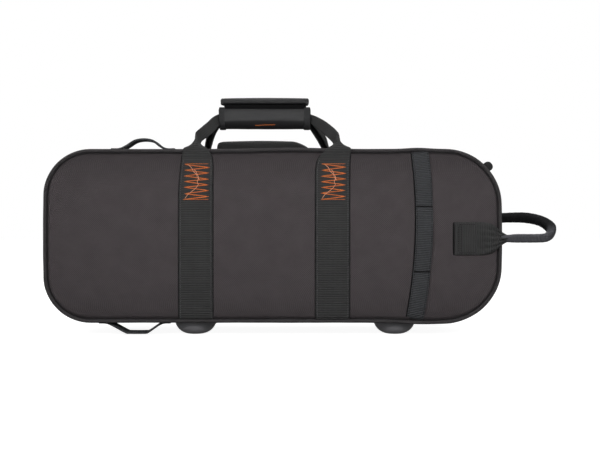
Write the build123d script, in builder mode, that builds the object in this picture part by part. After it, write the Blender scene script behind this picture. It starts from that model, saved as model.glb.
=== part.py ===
from build123d import *
import math
import os

# Padded carry case for a telescope tube. It stands on four feet with the handle up.
# +X runs along the case towards the end handle, +Z is up and the base half is at -Y.
# Millimetres. The base (-Y) and the lid (+Y) meet at y = 0 and are hinged along the bottom.

os.makedirs("parts", exist_ok=True)

# Case body
CASE_LENGTH = 674.0
CASE_HEIGHT = 257.0
CASE_DEPTH = 180.0
FOOT_HEIGHT = 20.0
LEFT_RADIUS = 70.0
RIGHT_RADIUS = 81.0
BODY_X = -45.6  # middle of the body; the end handle takes up the rest of the length
BODY_Z = FOOT_HEIGHT + CASE_HEIGHT / 2
TOP_Z = FOOT_HEIGHT + CASE_HEIGHT
HALF_DEPTH = CASE_DEPTH / 2

# Layers of each half, as insets from the outline and depths from the parting plane
PARTING_GAP = 0.2
PIPING_RADIUS = 3.0
SKIN_INSET = 1.5
SKIN_THICKNESS = 2.0
BOARD_INSET = SKIN_INSET + SKIN_THICKNESS
BOARD_THICKNESS = 4.0
LINING_INSET = BOARD_INSET + BOARD_THICKNESS
LINING_THICKNESS = 1.5
INSIDE_INSET = LINING_INSET + LINING_THICKNESS
PANEL_INSET = 2 * PIPING_RADIUS + 0.2
PANEL_DEPTH = HALF_DEPTH - 1.6
BOARD_DEPTH = PANEL_DEPTH - SKIN_THICKNESS
WALL_END = 1.2
BOARD_EDGE_RADIUS = 6.0
TAPE_INSET = 0.3
TAPE_WIDTH = 14.0
ZIP_END_Z = 22.2  # both ends of the zip stop above the hinge line
COIL_INSET = -1.3
COIL_WIDTH = 3.0
FLOOR_FOAM = 15.0
LID_FOAM = 25.0
INSIDE_DEPTH = BOARD_DEPTH - BOARD_THICKNESS - LINING_THICKNESS
FLOOR_DEPTH = INSIDE_DEPTH - FLOOR_FOAM
WALL_BOTTOM = FOOT_HEIGHT + SKIN_INSET
WALL_TOP = TOP_Z - SKIN_INSET

# Webbing
WIDE_WEBBING = 50.0
NARROW_WEBBING = 25.0
WEBBING_THICKNESS = 1.8
LEFT_STRAP_X = -113.0
RIGHT_STRAP_X = 88.5
RIM_CLEARANCE = 0.1

# Feet
FOOT_XS = (-118.0, 184.0)
FOOT_Y = 47.0
FOOT_RADIUS = 31.0
FOOT_FLAT = 9.0
SCREW_RADIUS = 2.0
SCREW_HOLE = 2.05
HEAD_RADIUS = 4.2
HEAD_HOLE = 4.7
HEAD_TOP = 7.0

# Carry handle
WRAP_LEFT = -86.5
WRAP_RIGHT = 57.5
WRAP_BOTTOM = 315.0
WRAP_TOP = 351.6
WRAP_HALF_DEPTH = 19.0
CHANNEL_HALF = 14.5
CHANNEL_BOTTOM = 327.5
BAR_Z = 335.0
BAR_Y = 7.5
BAR_RADIUS = 6.2
LOOP_HINGE_Y = 93.2
LOOP_HINGE_Z = 278.2
FLAP_BOTTOM = 353.6
FLAP_THICKNESS = 9.0
HOOK_THICKNESS = 0.8

# Zip sliders
SLIDER_GAP = 0.3
ARC_X = CASE_LENGTH / 2 - RIGHT_RADIUS
ARC_Z = TOP_Z - RIGHT_RADIUS
CORNER_ANGLE = 37.0
TOP_SLIDER_X = 245.0
PIN_HEIGHT = 3.5

# End handle
ROOT_X = 344.5
FRONT_ROOT = (ROOT_X, -86.0, 144.6)
REAR_ROOT = (ROOT_X, -25.0, 175.0)
TUBE_RADIUS = 7.0

BASE = -1
LID = 1


def at(x, y, z):
    """Point given from the middle of the body in x."""
    return (BODY_X + x, y, z)


def case_plane(depth):
    """Plane across the case at y = depth, drawn in x and z about the middle of the body."""
    return Plane(origin=(BODY_X, depth, BODY_Z), x_dir=(1, 0, 0), z_dir=(0, -1, 0))


def case_corners(inset):
    """Corners of the case outline before they are rounded."""
    half_length = CASE_LENGTH / 2 - inset
    half_height = CASE_HEIGHT / 2 - inset
    return [
        (-half_length, -half_height),
        (half_length, -half_height),
        (half_length, half_height),
        (-half_length, half_height),
    ]


def case_radii(inset):
    """Corner radii of the case outline at an inset."""
    left = LEFT_RADIUS - inset
    right = RIGHT_RADIUS - inset
    return [left, right, right, left]


def rounded(inset, mode=Mode.ADD):
    """Case outline at an inset, in the current sketch."""
    with BuildLine() as outline:
        FilletPolyline(*case_corners(inset), radius=case_radii(inset), close=True)
    make_face(outline.edges(), mode=mode)


def slab(side, inset, outer_depth, inner_depth):
    """Slab with the case outline, between two depths on one side of the parting plane."""
    with BuildPart() as piece:
        with BuildSketch(case_plane(side * outer_depth)):
            rounded(inset)
        extrude(amount=side * (outer_depth - inner_depth))
    return piece


def ring(side, outer_inset, inner_inset, outer_depth, inner_depth):
    """Ring that follows the case outline, between two depths."""
    with BuildPart() as piece:
        with BuildSketch(case_plane(side * outer_depth)):
            rounded(outer_inset)
            rounded(inner_inset, mode=Mode.SUBTRACT)
        extrude(amount=side * (outer_depth - inner_depth))
    return piece


def foot_places(side, z):
    """Points on the two foot axes of one half, at height z."""
    return [at(x, side * FOOT_Y, z) for x in FOOT_XS]


def save(piece, label):
    """Name a piece and write it."""
    piece.part.label = label
    export_step(piece.part, "parts/" + label + ".step")


# ---------------------------------------------------------------- shells of the two halves

for side, half in ((BASE, "base"), (LID, "lid")):
    with BuildPart() as piping:
        with BuildLine(case_plane(side * (HALF_DEPTH - PIPING_RADIUS))) as path:
            FilletPolyline(
                *case_corners(PIPING_RADIUS), radius=case_radii(PIPING_RADIUS), close=True
            )
        with BuildSketch(Plane(origin=path.line @ 0, z_dir=path.line % 0)):
            Circle(PIPING_RADIUS)
        sweep()
    save(piping, half + "_piping")

    panel = slab(side, PANEL_INSET, PANEL_DEPTH, BOARD_DEPTH)
    save(panel, half + "_face_panel")

    with BuildPart() as wall:
        with BuildSketch(case_plane(side * (HALF_DEPTH - 2 * PIPING_RADIUS - 0.2))):
            rounded(SKIN_INSET)
            rounded(BOARD_INSET, mode=Mode.SUBTRACT)
        extrude(amount=side * (HALF_DEPTH - 2 * PIPING_RADIUS - 0.2 - WALL_END))
        with Locations(*foot_places(side, WALL_BOTTOM)):
            Cylinder(SCREW_HOLE, 10, mode=Mode.SUBTRACT)
    save(wall, half + "_side_wall")

    with BuildPart() as board:
        with BuildSketch(case_plane(side * BOARD_DEPTH)):
            rounded(BOARD_INSET)
        extrude(amount=side * (BOARD_DEPTH - WALL_END))
        front_face = board.faces().sort_by(Axis.Y)[0 if side == BASE else -1]
        fillet(front_face.edges(), BOARD_EDGE_RADIUS)
        with BuildSketch(case_plane(side * (BOARD_DEPTH - BOARD_THICKNESS))):
            rounded(LINING_INSET)
        extrude(amount=side * (BOARD_DEPTH - BOARD_THICKNESS - WALL_END), mode=Mode.SUBTRACT)
        with Locations(*foot_places(side, WALL_BOTTOM)):
            Cylinder(SCREW_HOLE, 14, mode=Mode.SUBTRACT)
    save(board, half + "_board")

    with BuildPart() as lining:
        with BuildSketch(case_plane(side * (BOARD_DEPTH - BOARD_THICKNESS))):
            rounded(LINING_INSET)
        extrude(amount=side * (BOARD_DEPTH - BOARD_THICKNESS - WALL_END))
        with BuildSketch(case_plane(side * INSIDE_DEPTH)):
            rounded(INSIDE_INSET)
        extrude(amount=side * (INSIDE_DEPTH - WALL_END), mode=Mode.SUBTRACT)
    save(lining, half + "_lining")

    binding = ring(side, SKIN_INSET + 0.1, INSIDE_INSET, WALL_END, PARTING_GAP)
    save(binding, half + "_seam_binding")

    # The zip runs over the top and both ends, and the bottom run is the fabric hinge
    straight_middle = BODY_X + (LEFT_RADIUS - RIGHT_RADIUS) / 2
    straight_length = CASE_LENGTH - LEFT_RADIUS - RIGHT_RADIUS
    with BuildPart() as zip_tape:
        with BuildSketch(case_plane(side * TAPE_WIDTH)):
            rounded(TAPE_INSET)
            rounded(SKIN_INSET, mode=Mode.SUBTRACT)
        extrude(amount=side * (TAPE_WIDTH - PARTING_GAP))
        with BuildSketch(case_plane(side * COIL_WIDTH)):
            rounded(COIL_INSET)
            rounded(TAPE_INSET, mode=Mode.SUBTRACT)
        extrude(amount=side * (COIL_WIDTH - PARTING_GAP))
        with Locations((straight_middle, side * TAPE_WIDTH / 2, ZIP_END_Z - 10)):
            Box(CASE_LENGTH, TAPE_WIDTH + 4, 20, mode=Mode.SUBTRACT)
    save(zip_tape, half + "_zip_tape")

    with BuildPart() as hinge_tape:
        hinge_y = side * (TAPE_WIDTH + PARTING_GAP) / 2
        with Locations((straight_middle, hinge_y, FOOT_HEIGHT + (TAPE_INSET + SKIN_INSET) / 2)):
            Box(
                straight_length - 1.0,
                TAPE_WIDTH - PARTING_GAP,
                SKIN_INSET - TAPE_INSET,
            )
    save(hinge_tape, half + "_hinge_tape")

    # Domed feet, each held by one screw up through its middle
    with BuildPart() as feet:
        for x in FOOT_XS:
            foot_axis = Plane(origin=at(x, side * FOOT_Y, 0), x_dir=(1, 0, 0), z_dir=(0, -1, 0))
            with BuildSketch(foot_axis):
                with BuildLine():
                    Polyline((0, WALL_BOTTOM), (0, 0), (FOOT_FLAT, 0))
                    ThreePointArc((FOOT_FLAT, 0), (22.9, 4.75), (FOOT_RADIUS, 17.0))
                    Polyline((FOOT_RADIUS, 17.0), (FOOT_RADIUS, WALL_BOTTOM), (0, WALL_BOTTOM))
                make_face()
            revolve(axis=Axis(at(x, side * FOOT_Y, 0), (0, 0, 1)))
        with Locations(*foot_places(side, WALL_BOTTOM / 2)):
            Cylinder(SCREW_HOLE, 2 * WALL_BOTTOM, mode=Mode.SUBTRACT)
        with Locations(*foot_places(side, HEAD_TOP / 2)):
            Cylinder(HEAD_HOLE, HEAD_TOP, mode=Mode.SUBTRACT)
    save(feet, half + "_feet")

    with BuildPart() as screws:
        for place in foot_places(side, 0):
            with Locations((place[0], place[1], HEAD_TOP)):
                Cylinder(HEAD_RADIUS, 3.4, align=(Align.CENTER, Align.CENTER, Align.MAX))
                Cylinder(SCREW_RADIUS, 20.2, align=(Align.CENTER, Align.CENTER, Align.MIN))
            with Locations((place[0], place[1], HEAD_TOP - 3.4)):
                Box(6.0, 1.0, 1.6, mode=Mode.SUBTRACT)
                Box(1.0, 6.0, 1.6, mode=Mode.SUBTRACT)
    save(screws, half + "_foot_screws")

    # Wide face straps: flat on the panel, then over the piping at the top
    inner = PANEL_DEPTH
    outer = HALF_DEPTH + RIM_CLEARANCE
    for x, name in ((LEFT_STRAP_X, "left"), (RIGHT_STRAP_X, "right")):
        with BuildPart() as strap:
            with BuildSketch(Plane.YZ.offset(BODY_X + x)):
                with BuildLine():
                    Polyline(
                        (side * inner, FOOT_HEIGHT + 6.5),
                        (side * inner, TOP_Z - 13.0),
                        (side * outer, TOP_Z - 7.0),
                        (side * outer, TOP_Z + 0.4),
                        (side * (outer + WEBBING_THICKNESS), TOP_Z + 0.4),
                        (side * (outer + WEBBING_THICKNESS), TOP_Z - 7.6),
                        (side * (inner + WEBBING_THICKNESS), TOP_Z - 13.6),
                        (side * (inner + WEBBING_THICKNESS), FOOT_HEIGHT + 6.5),
                        close=True,
                    )
                make_face()
            extrude(amount=WIDE_WEBBING / 2, both=True)
        prefix = "front" if side == BASE else "rear"
        save(strap, prefix + "_strap_" + name)

# ---------------------------------------------------------------- foam inside the base

floor_foam = slab(BASE, INSIDE_INSET, INSIDE_DEPTH, FLOOR_DEPTH)
save(floor_foam, "floor_foam")

lid_foam = slab(LID, INSIDE_INSET, INSIDE_DEPTH, INSIDE_DEPTH - LID_FOAM)
save(lid_foam, "lid_foam")

FOAM_TOP = -3.0
TUBE_Z = 112.0
TUBE_Y = -8.0
TUBE_CLEARANCE = 49.0
DIVIDER_BOTTOM = 194.6
DIVIDER_THICKNESS = 12.0
CRADLE_WIDTH = 40.0
CRADLE_X = 160.0
INSIDE_BOTTOM = FOOT_HEIGHT + INSIDE_INSET
INSIDE_TOP = TOP_Z - INSIDE_INSET
foam_height = FOAM_TOP + FLOOR_DEPTH
foam_middle = (FOAM_TOP - FLOOR_DEPTH) / 2

for x, name in ((-CRADLE_X, "left"), (CRADLE_X, "right")):
    with BuildPart() as cradle:
        with Locations(at(x, foam_middle, (INSIDE_BOTTOM + DIVIDER_BOTTOM) / 2)):
            Box(CRADLE_WIDTH, foam_height, DIVIDER_BOTTOM - INSIDE_BOTTOM)
        with Locations(at(x, TUBE_Y, TUBE_Z)):
            Cylinder(
                TUBE_CLEARANCE, CRADLE_WIDTH + 2, rotation=(0, 90, 0), mode=Mode.SUBTRACT
            )
    save(cradle, "tube_cradle_" + name)

    with BuildPart() as tube_strap:
        with Locations(at(x, FOAM_TOP + 0.75, TUBE_Z)):
            Box(38, 1.5, 2 * TUBE_CLEARANCE + 26)
    save(tube_strap, "tube_strap_" + name)

with BuildPart() as long_divider:
    with Locations(at(-0.5, foam_middle, DIVIDER_BOTTOM + DIVIDER_THICKNESS / 2)):
        Box(652, foam_height, DIVIDER_THICKNESS)
save(long_divider, "long_divider")

with BuildPart() as accessory_dividers:
    divider_top = DIVIDER_BOTTOM + DIVIDER_THICKNESS
    for x in (-92.0, 96.0):
        with Locations(at(x, foam_middle, (divider_top + INSIDE_TOP) / 2)):
            Box(DIVIDER_THICKNESS, foam_height, INSIDE_TOP - divider_top)
save(accessory_dividers, "accessory_dividers")

for x, name in ((-313.0, "left"), (313.0, "right")):
    with BuildPart() as bolster:
        with Locations(at(x, foam_middle, 147.5)):
            Box(30, foam_height, 88)
    save(bolster, "end_bolster_" + name)

# ---------------------------------------------------------------- narrow webbing on the base

STRIP_THICKNESS = 1.6
with BuildPart() as daisy_chain:
    with BuildSketch(Plane.YZ.offset(BODY_X + 150)):
        with BuildLine() as bend:
            Spline(
                (-89.5, 26.6),
                (-91.6, 61),
                (-89.7, 96),
                (-92.0, 144),
                (-89.7, 192),
                (-91.2, 229),
                (-89.9, 262),
                (-91.0, 270),
                (-91.0, 277.4),
            )
        trace(line_width=STRIP_THICKNESS)
    extrude(amount=120)
    with BuildSketch(case_plane(-HALF_DEPTH - 20)):
        with BuildLine():
            Spline((217.0, 135), (223.0, 40), (219.5, -60), (209.5, -130))
        trace(line_width=NARROW_WEBBING)
    extrude(amount=-40, mode=Mode.INTERSECT)
save(daisy_chain, "daisy_chain")

loops = {
    "lash_loop_top": (WALL_TOP, 1, ((-238, 0), (-222, 0), (-191.6, 14.6), (-164, 0), (-148, 0))),
    "lash_loop_bottom": (WALL_BOTTOM, -1, ((-256, 0), (-240, 0), (-202, 15.4), (-170, 0), (-154, 0))),
}
LOOP_THICKNESS = 2.6
for label, (level, up, points) in loops.items():
    heel = level + up * LOOP_THICKNESS / 2
    with BuildPart() as lash_loop:
        with BuildSketch(Plane(origin=at(0, -57, 0), x_dir=(1, 0, 0), z_dir=(0, -1, 0))):
            with BuildLine():
                start, left_heel, top, right_heel, end = [
                    (x, heel + up * z) for x, z in points
                ]
                left_shoulder = (top[0] - 13, top[1])
                right_shoulder = (top[0] + 13, top[1])
                FilletPolyline(
                    start, left_heel, left_shoulder, right_shoulder, right_heel, end, radius=9
                )
            trace(line_width=LOOP_THICKNESS)
        extrude(amount=NARROW_WEBBING)
    save(lash_loop, label)

# ---------------------------------------------------------------- end handle

TAB_TOP = 169.0
TAB_BOTTOM = 120.0
with BuildPart() as end_tab:
    with BuildSketch(Plane(origin=at(0, 0, TAB_BOTTOM), x_dir=(1, 0, 0), z_dir=(0, 0, 1))):
        with BuildLine():
            Polyline(
                (268.0, -PANEL_DEPTH),
                (325.0, -PANEL_DEPTH),
                (330.5, -HALF_DEPTH - RIM_CLEARANCE),
                (337.2, -HALF_DEPTH - RIM_CLEARANCE),
                (337.2, -HALF_DEPTH - RIM_CLEARANCE - WEBBING_THICKNESS),
                (330.0, -HALF_DEPTH - RIM_CLEARANCE - WEBBING_THICKNESS),
                (324.5, -PANEL_DEPTH - WEBBING_THICKNESS),
                (268.0, -PANEL_DEPTH - WEBBING_THICKNESS),
                close=True,
            )
        make_face()
    extrude(amount=TAB_TOP - TAB_BOTTOM)
    with BuildSketch(case_plane(-HALF_DEPTH - 20)):
        with BuildLine():
            Polyline(
                (268.0, TAB_BOTTOM - BODY_Z),
                (318.0, TAB_BOTTOM - BODY_Z),
                (338.0, FRONT_ROOT[2] - 9 - BODY_Z),
                (338.0, FRONT_ROOT[2] + 9 - BODY_Z),
                (318.0, TAB_TOP - BODY_Z),
                (268.0, TAB_TOP - BODY_Z),
                close=True,
            )
        make_face()
    extrude(amount=-60, mode=Mode.INTERSECT)
save(end_tab, "end_tab")

with BuildPart() as end_root_patch:
    wall_x = CASE_LENGTH / 2 - SKIN_INSET
    with Locations(at(wall_x + 0.8, -30.5, REAR_ROOT[2] - 9)):
        Box(1.6, 27, 60)
    chamfer(end_root_patch.edges().filter_by(Axis.X), 4)
save(end_root_patch, "end_root_patch")

with BuildPart() as end_loop:
    with BuildLine() as tube_path:
        Spline(
            at(*FRONT_ROOT),
            at(392.0, -81.0, 145.0),
            at(422.5, -58.0, 161.0),
            at(394.0, -30.0, 174.5),
            at(*REAR_ROOT),
            tangents=((1, 0.02, 0), (-1, 0.02, 0.0)),
        )
    with BuildSketch(Plane(origin=tube_path.line @ 0, z_dir=tube_path.line % 0)):
        Circle(TUBE_RADIUS)
    sweep()
    with Locations(at(*FRONT_ROOT), at(*REAR_ROOT)):
        Sphere(TUBE_RADIUS)
save(end_loop, "end_handle_loop")

# ---------------------------------------------------------------- carry handle


def carry_loop(side, necks, shoulders, strap_xs):
    """Loop of wide webbing: a taper from each face strap to a folded neck, and a bar."""
    hinge_y = side * LOOP_HINGE_Y
    with BuildPart() as loop:
        for neck, strap_x in zip(necks, strap_xs):
            start = Vector(*at(strap_x, hinge_y - side * 0.7, LOOP_HINGE_Z + 0.4))
            neck_point = Vector(*at(*neck))
            along = Vector(0, neck_point.Y - start.Y, neck_point.Z - start.Z)
            with BuildSketch(Plane(origin=start, x_dir=(1, 0, 0), z_dir=along)):
                Rectangle(WIDE_WEBBING - 2, WEBBING_THICKNESS)
            with BuildSketch(Plane(origin=neck_point, x_dir=(1, 0, 0), z_dir=along)):
                Rectangle(15, 8)
            loft()
        with BuildLine() as path:
            left, right = necks
            left_end = at(WRAP_LEFT - 1.5, side * BAR_Y, BAR_Z)
            right_end = at(WRAP_RIGHT + 1.5, side * BAR_Y, BAR_Z)
            Spline(
                at(*left),
                at(*shoulders[0]),
                left_end,
                tangents=((0.1, -side * 0.7, 0.7), (1, -side * 0.35, 0.12)),
            )
            Line(left_end, right_end)
            Spline(
                right_end,
                at(*shoulders[1]),
                at(*right),
                tangents=((1, side * 0.35, -0.12), (0.1, side * 0.7, -0.7)),
            )
        with BuildSketch(Plane(origin=path.line @ 0, z_dir=path.line % 0)):
            Circle(BAR_RADIUS)
        sweep()
    return loop


front_loop = carry_loop(
    BASE,
    ((-116.7, -65.0, 292.0), (98.0, -65.0, 293.0)),
    ((-101.5, -33.0, 315.5), (83.0, -33.0, 317.5)),
    (LEFT_STRAP_X, RIGHT_STRAP_X),
)
save(front_loop, "front_carry_loop")

rear_loop = carry_loop(
    LID,
    ((-113.5, 65.0, 292.5), (86.0, 65.0, 292.5)),
    ((-104.0, 33.0, 315.0), (70.0, 33.0, 317.0)),
    (LEFT_STRAP_X, RIGHT_STRAP_X),
)
save(rear_loop, "rear_carry_loop")

wrap_length = WRAP_RIGHT - WRAP_LEFT
wrap_middle = (WRAP_LEFT + WRAP_RIGHT) / 2


def wrap_outline(grow, mode=Mode.ADD):
    """Outside of the handle wrap, in y and z, open at the top."""
    half = WRAP_HALF_DEPTH + grow
    bottom = WRAP_BOTTOM - grow
    radius = 14 + grow
    with BuildLine() as outline:
        Line((-half, bottom + radius), (-half, WRAP_TOP))
        Line((-half, WRAP_TOP), (half, WRAP_TOP))
        Line((half, WRAP_TOP), (half, bottom + radius))
        RadiusArc((half, bottom + radius), (half - radius, bottom), radius)
        Line((half - radius, bottom), (radius - half, bottom))
        RadiusArc((radius - half, bottom), (-half, bottom + radius), radius)
    make_face(outline.edges(), mode=mode)


with BuildPart() as wrap:
    with BuildSketch(Plane.YZ.offset(BODY_X + WRAP_LEFT)):
        wrap_outline(0)
        with Locations((0, (CHANNEL_BOTTOM + WRAP_TOP + 8) / 2)):
            RectangleRounded(
                2 * CHANNEL_HALF, WRAP_TOP + 8 - CHANNEL_BOTTOM, 6, mode=Mode.SUBTRACT
            )
    extrude(amount=wrap_length)
save(wrap, "handle_wrap")

with BuildPart() as wrap_bindings:
    for x in (-85.4, 44.5):
        with BuildSketch(Plane.YZ.offset(BODY_X + x)):
            wrap_outline(0.8)
            wrap_outline(0, mode=Mode.SUBTRACT)
        extrude(amount=11)
save(wrap_bindings, "wrap_bindings")

strip_y = -(WRAP_HALF_DEPTH + CHANNEL_HALF) / 2
strip_width = WRAP_HALF_DEPTH - CHANNEL_HALF
with BuildPart() as loop_strip:
    with Locations(at(wrap_middle, strip_y, WRAP_TOP + HOOK_THICKNESS / 2)):
        Box(wrap_length - 30, strip_width, HOOK_THICKNESS)
save(loop_strip, "wrap_loop_strip")

with BuildPart() as flap:
    with BuildSketch(Plane.YZ.offset(BODY_X + WRAP_LEFT + 3)):
        with Locations((0, FLAP_BOTTOM + FLAP_THICKNESS / 2)):
            RectangleRounded(2 * WRAP_HALF_DEPTH, FLAP_THICKNESS, 4.2)
    extrude(amount=wrap_length - 6)
save(flap, "wrap_flap")

with BuildPart() as hook_strip:
    with Locations(at(wrap_middle, -13.0, FLAP_BOTTOM - HOOK_THICKNESS / 2)):
        Box(wrap_length - 30, 4.0, HOOK_THICKNESS)
save(hook_strip, "wrap_hook_strip")

PAD_LEFT = -93.0
PAD_RIGHT = 55.0
with BuildPart() as top_pad:
    with BuildSketch(Plane.YZ.offset(BODY_X + PAD_LEFT)):
        with Locations((35.5, (WALL_TOP + 298.5) / 2)):
            RectangleRounded(41, 298.5 - WALL_TOP, 5)
    extrude(amount=PAD_RIGHT - PAD_LEFT)
    fillet(top_pad.edges().filter_by(Axis.Y).group_by(Axis.Z)[-1], 9)
save(top_pad, "top_pad")

# ---------------------------------------------------------------- zip sliders and pulls


def slider(plane):
    """Slider seen from above the coil: a plate with a bridge for the pull."""
    with BuildPart(plane) as piece:
        with Locations((0, 0, 1.2)):
            Box(14, 10, 2.4)
        upright = Axis(plane.origin, plane.z_dir)
        fillet(piece.edges().filter_by(upright), 3.5)
        with Locations((0, 0, 4.1)):
            Box(10, 2.4, 3.4)
        with Locations((0, 0, PIN_HEIGHT)):
            Box(6, 6, 2.2, mode=Mode.SUBTRACT)
    return piece


def pull(plane, grip_length, grip_width, grip_thickness, upright):
    """Pull on a pin through the slider's bridge, either upright or lying along -x."""
    turn = plane
    if not upright:
        turn = Plane(origin=plane.origin, x_dir=plane.z_dir, z_dir=-plane.x_dir)
    with BuildPart(turn) as piece:
        Cylinder(0.6, 8, rotation=(90, 0, 0))
        for arm_y in (-3.2, 3.2):
            with Locations((0, arm_y, 4.5)):
                Box(1.2, 1.6, 9.5)
        with Locations((0, 0, 8 + grip_length / 2)):
            Box(grip_width, grip_thickness, grip_length)
        across = Axis(turn.origin, turn.y_dir)
        outward = Axis(turn.origin, turn.z_dir)
        grip_edges = piece.edges().filter_by(across).group_by(outward)[-1]
        if upright:
            fillet(grip_edges, grip_width / 2 - 1)
    return piece


coil_surface = TOP_Z - COIL_INSET + SLIDER_GAP
angle = math.radians(CORNER_ANGLE)
radial = Vector(math.cos(angle), 0, math.sin(angle))
tangent = Vector(math.sin(angle), 0, -math.cos(angle))
arc_radius = coil_surface - ARC_Z
corner_origin = Vector(*at(ARC_X, 0, ARC_Z)) + radial * arc_radius
corner_plane = Plane(origin=corner_origin, x_dir=tangent, z_dir=radial)
corner_pin = Plane(origin=corner_origin + radial * PIN_HEIGHT, x_dir=tangent, z_dir=radial)
top_origin = Vector(*at(TOP_SLIDER_X, 0, coil_surface))
top_plane = Plane(origin=top_origin, x_dir=(1, 0, 0), z_dir=(0, 0, 1))
top_pin = Plane(origin=top_origin + Vector(0, 0, PIN_HEIGHT), x_dir=(1, 0, 0), z_dir=(0, 0, 1))

save(slider(corner_plane), "corner_zip_slider")
save(slider(top_plane), "top_zip_slider")
save(pull(corner_pin, 14, 15, 5, True), "corner_zip_pull")
save(pull(top_pin, 24, 1.8, 9.6, False), "top_zip_pull")
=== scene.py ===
import math
import random

import bmesh
import bpy
import numpy as np
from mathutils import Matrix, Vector
from mathutils.bvhtree import BVHTree


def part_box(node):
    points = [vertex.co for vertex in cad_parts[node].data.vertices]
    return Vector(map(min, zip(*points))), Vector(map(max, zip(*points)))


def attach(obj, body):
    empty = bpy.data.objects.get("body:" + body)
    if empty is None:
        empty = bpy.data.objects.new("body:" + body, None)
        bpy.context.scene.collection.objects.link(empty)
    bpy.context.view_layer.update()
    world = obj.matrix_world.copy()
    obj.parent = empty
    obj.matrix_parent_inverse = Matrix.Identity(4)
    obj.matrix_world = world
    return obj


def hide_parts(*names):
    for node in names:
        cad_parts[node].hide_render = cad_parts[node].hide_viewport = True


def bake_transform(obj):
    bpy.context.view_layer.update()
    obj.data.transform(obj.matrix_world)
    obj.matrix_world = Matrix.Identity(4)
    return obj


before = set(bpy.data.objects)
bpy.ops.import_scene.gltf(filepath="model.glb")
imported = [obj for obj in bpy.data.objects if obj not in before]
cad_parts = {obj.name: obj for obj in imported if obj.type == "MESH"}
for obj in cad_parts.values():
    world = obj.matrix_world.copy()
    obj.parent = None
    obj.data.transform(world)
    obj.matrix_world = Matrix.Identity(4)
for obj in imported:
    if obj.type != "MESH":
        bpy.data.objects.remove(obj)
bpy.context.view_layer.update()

random.seed(7)
MM = 0.001

# ------------------------------------------------------------------ the case outline, from the frame

piping_low, piping_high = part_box("base_piping")
MID_X = (piping_low.x + piping_high.x) / 2
MID_Z = (piping_low.z + piping_high.z) / 2
HALF_LENGTH = (piping_high.x - piping_low.x) / 2
HALF_HEIGHT = (piping_high.z - piping_low.z) / 2
FACE = -piping_low.y  # the faces are at y = -FACE and +FACE
LEFT_RADIUS = 67 * MM
RIGHT_RADIUS = 81 * MM
PIPING = 2.6 * MM  # radius of the cord
PANEL_INSET = 6.6 * MM
PANEL = -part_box("base_face_panel")[0].y
CROWN = 3.4 * MM  # how far the padded faces stand out in the middle
BOW = 2.4 * MM  # how far the ends stand out at mid height
BULGE = 3.2 * MM  # how much of that is lost towards the corners
# Soft waves of the top edge (1) and the bottom edge (-1): middle, width, edge, rise (mm)
EDGE_WAVES = ((30, 62, 1, 2.2), (216, 24, 1, 2.0), (226, 42, -1, -2.6))
ZIP_CLEAR = 18 * MM  # neither bows nor sags this near to the zip and the hinge
ZIP_BLEND = 50 * MM  # over this depth both come in
SKIN_INSET = 1.5 * MM
WEBBING = 1.8 * MM
BASE = -1
LID = 1
SIDES = ((BASE, "base"), (LID, "lid"))
ENDS = ((-1, LEFT_RADIUS), (1, RIGHT_RADIUS))


def at(x, y, z):
    """A point in millimetres, with x measured from the middle of the case."""
    return np.array((MID_X + x * MM, y * MM, z * MM))


def outline(step=6 * MM):
    """Points round the case, with outward normals and the distance run, in x and z."""
    corners = (
        (1, -1, RIGHT_RADIUS, -90),
        (1, 1, RIGHT_RADIUS, 0),
        (-1, 1, LEFT_RADIUS, 90),
        (-1, -1, LEFT_RADIUS, 180),
    )
    points, normals = [], []
    for i, (sx, sz, radius, first) in enumerate(corners):
        centre = (MID_X + sx * (HALF_LENGTH - radius), MID_Z + sz * (HALF_HEIGHT - radius))
        steps = max(8, round(radius * math.pi / 2 / step))
        for k in range(steps + 1):
            angle = math.radians(first + 90 * k / steps)
            normal = (math.cos(angle), math.sin(angle))
            points.append((centre[0] + radius * normal[0], centre[1] + radius * normal[1]))
            normals.append(normal)
        nsx, nsz, nradius, _ = corners[(i + 1) % 4]
        ncentre = (MID_X + nsx * (HALF_LENGTH - nradius), MID_Z + nsz * (HALF_HEIGHT - nradius))
        start = np.array(points[-1])
        end = np.array(
            (ncentre[0] + nradius * normals[-1][0], ncentre[1] + nradius * normals[-1][1])
        )
        runs = max(2, round(float(np.linalg.norm(end - start)) / step))
        for k in range(1, runs):
            points.append(tuple(start + (end - start) * k / runs))
            normals.append(normals[-1])
    points, normals = np.array(points), np.array(normals)
    gaps = np.linalg.norm(np.roll(points, -1, 0) - points, axis=1)
    return points, normals, np.concatenate(([0], np.cumsum(gaps)[:-1]))


RING, RING_NORMAL, RING_RUN = outline()


def soften(points):
    """The case is not a hard box: its ends bow out, and its top and bottom edges wave."""
    points = np.array(points, float)
    x, z = points[..., 0], points[..., 2]
    share = (x - MID_X) / HALF_LENGTH
    height = (z - MID_Z) / HALF_HEIGHT
    clear = np.clip((np.abs(points[..., 1]) - ZIP_CLEAR) / ZIP_BLEND, 0, 1)
    points[..., 0] = x + np.sign(share) * np.abs(share) ** 5 * (BOW * clear - BULGE * height**2)
    for middle, width, way, rise in EDGE_WAVES:
        lift = np.exp(-(((x - MID_X - middle * MM) / (width * MM)) ** 2))
        part = clear if way < 0 else 1
        points[..., 2] += rise * MM * lift * part * np.clip(way * height, 0, None) ** 6
    return points


def ring_at(inset, y):
    """The outline at an inset and a depth, as points in space. Both may be arrays."""
    flat = RING - RING_NORMAL * np.reshape(inset, (-1, 1))
    depth = np.broadcast_to(y, (len(flat),))
    return soften(np.stack((flat[:, 0], depth, flat[:, 1]), axis=1))


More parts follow.
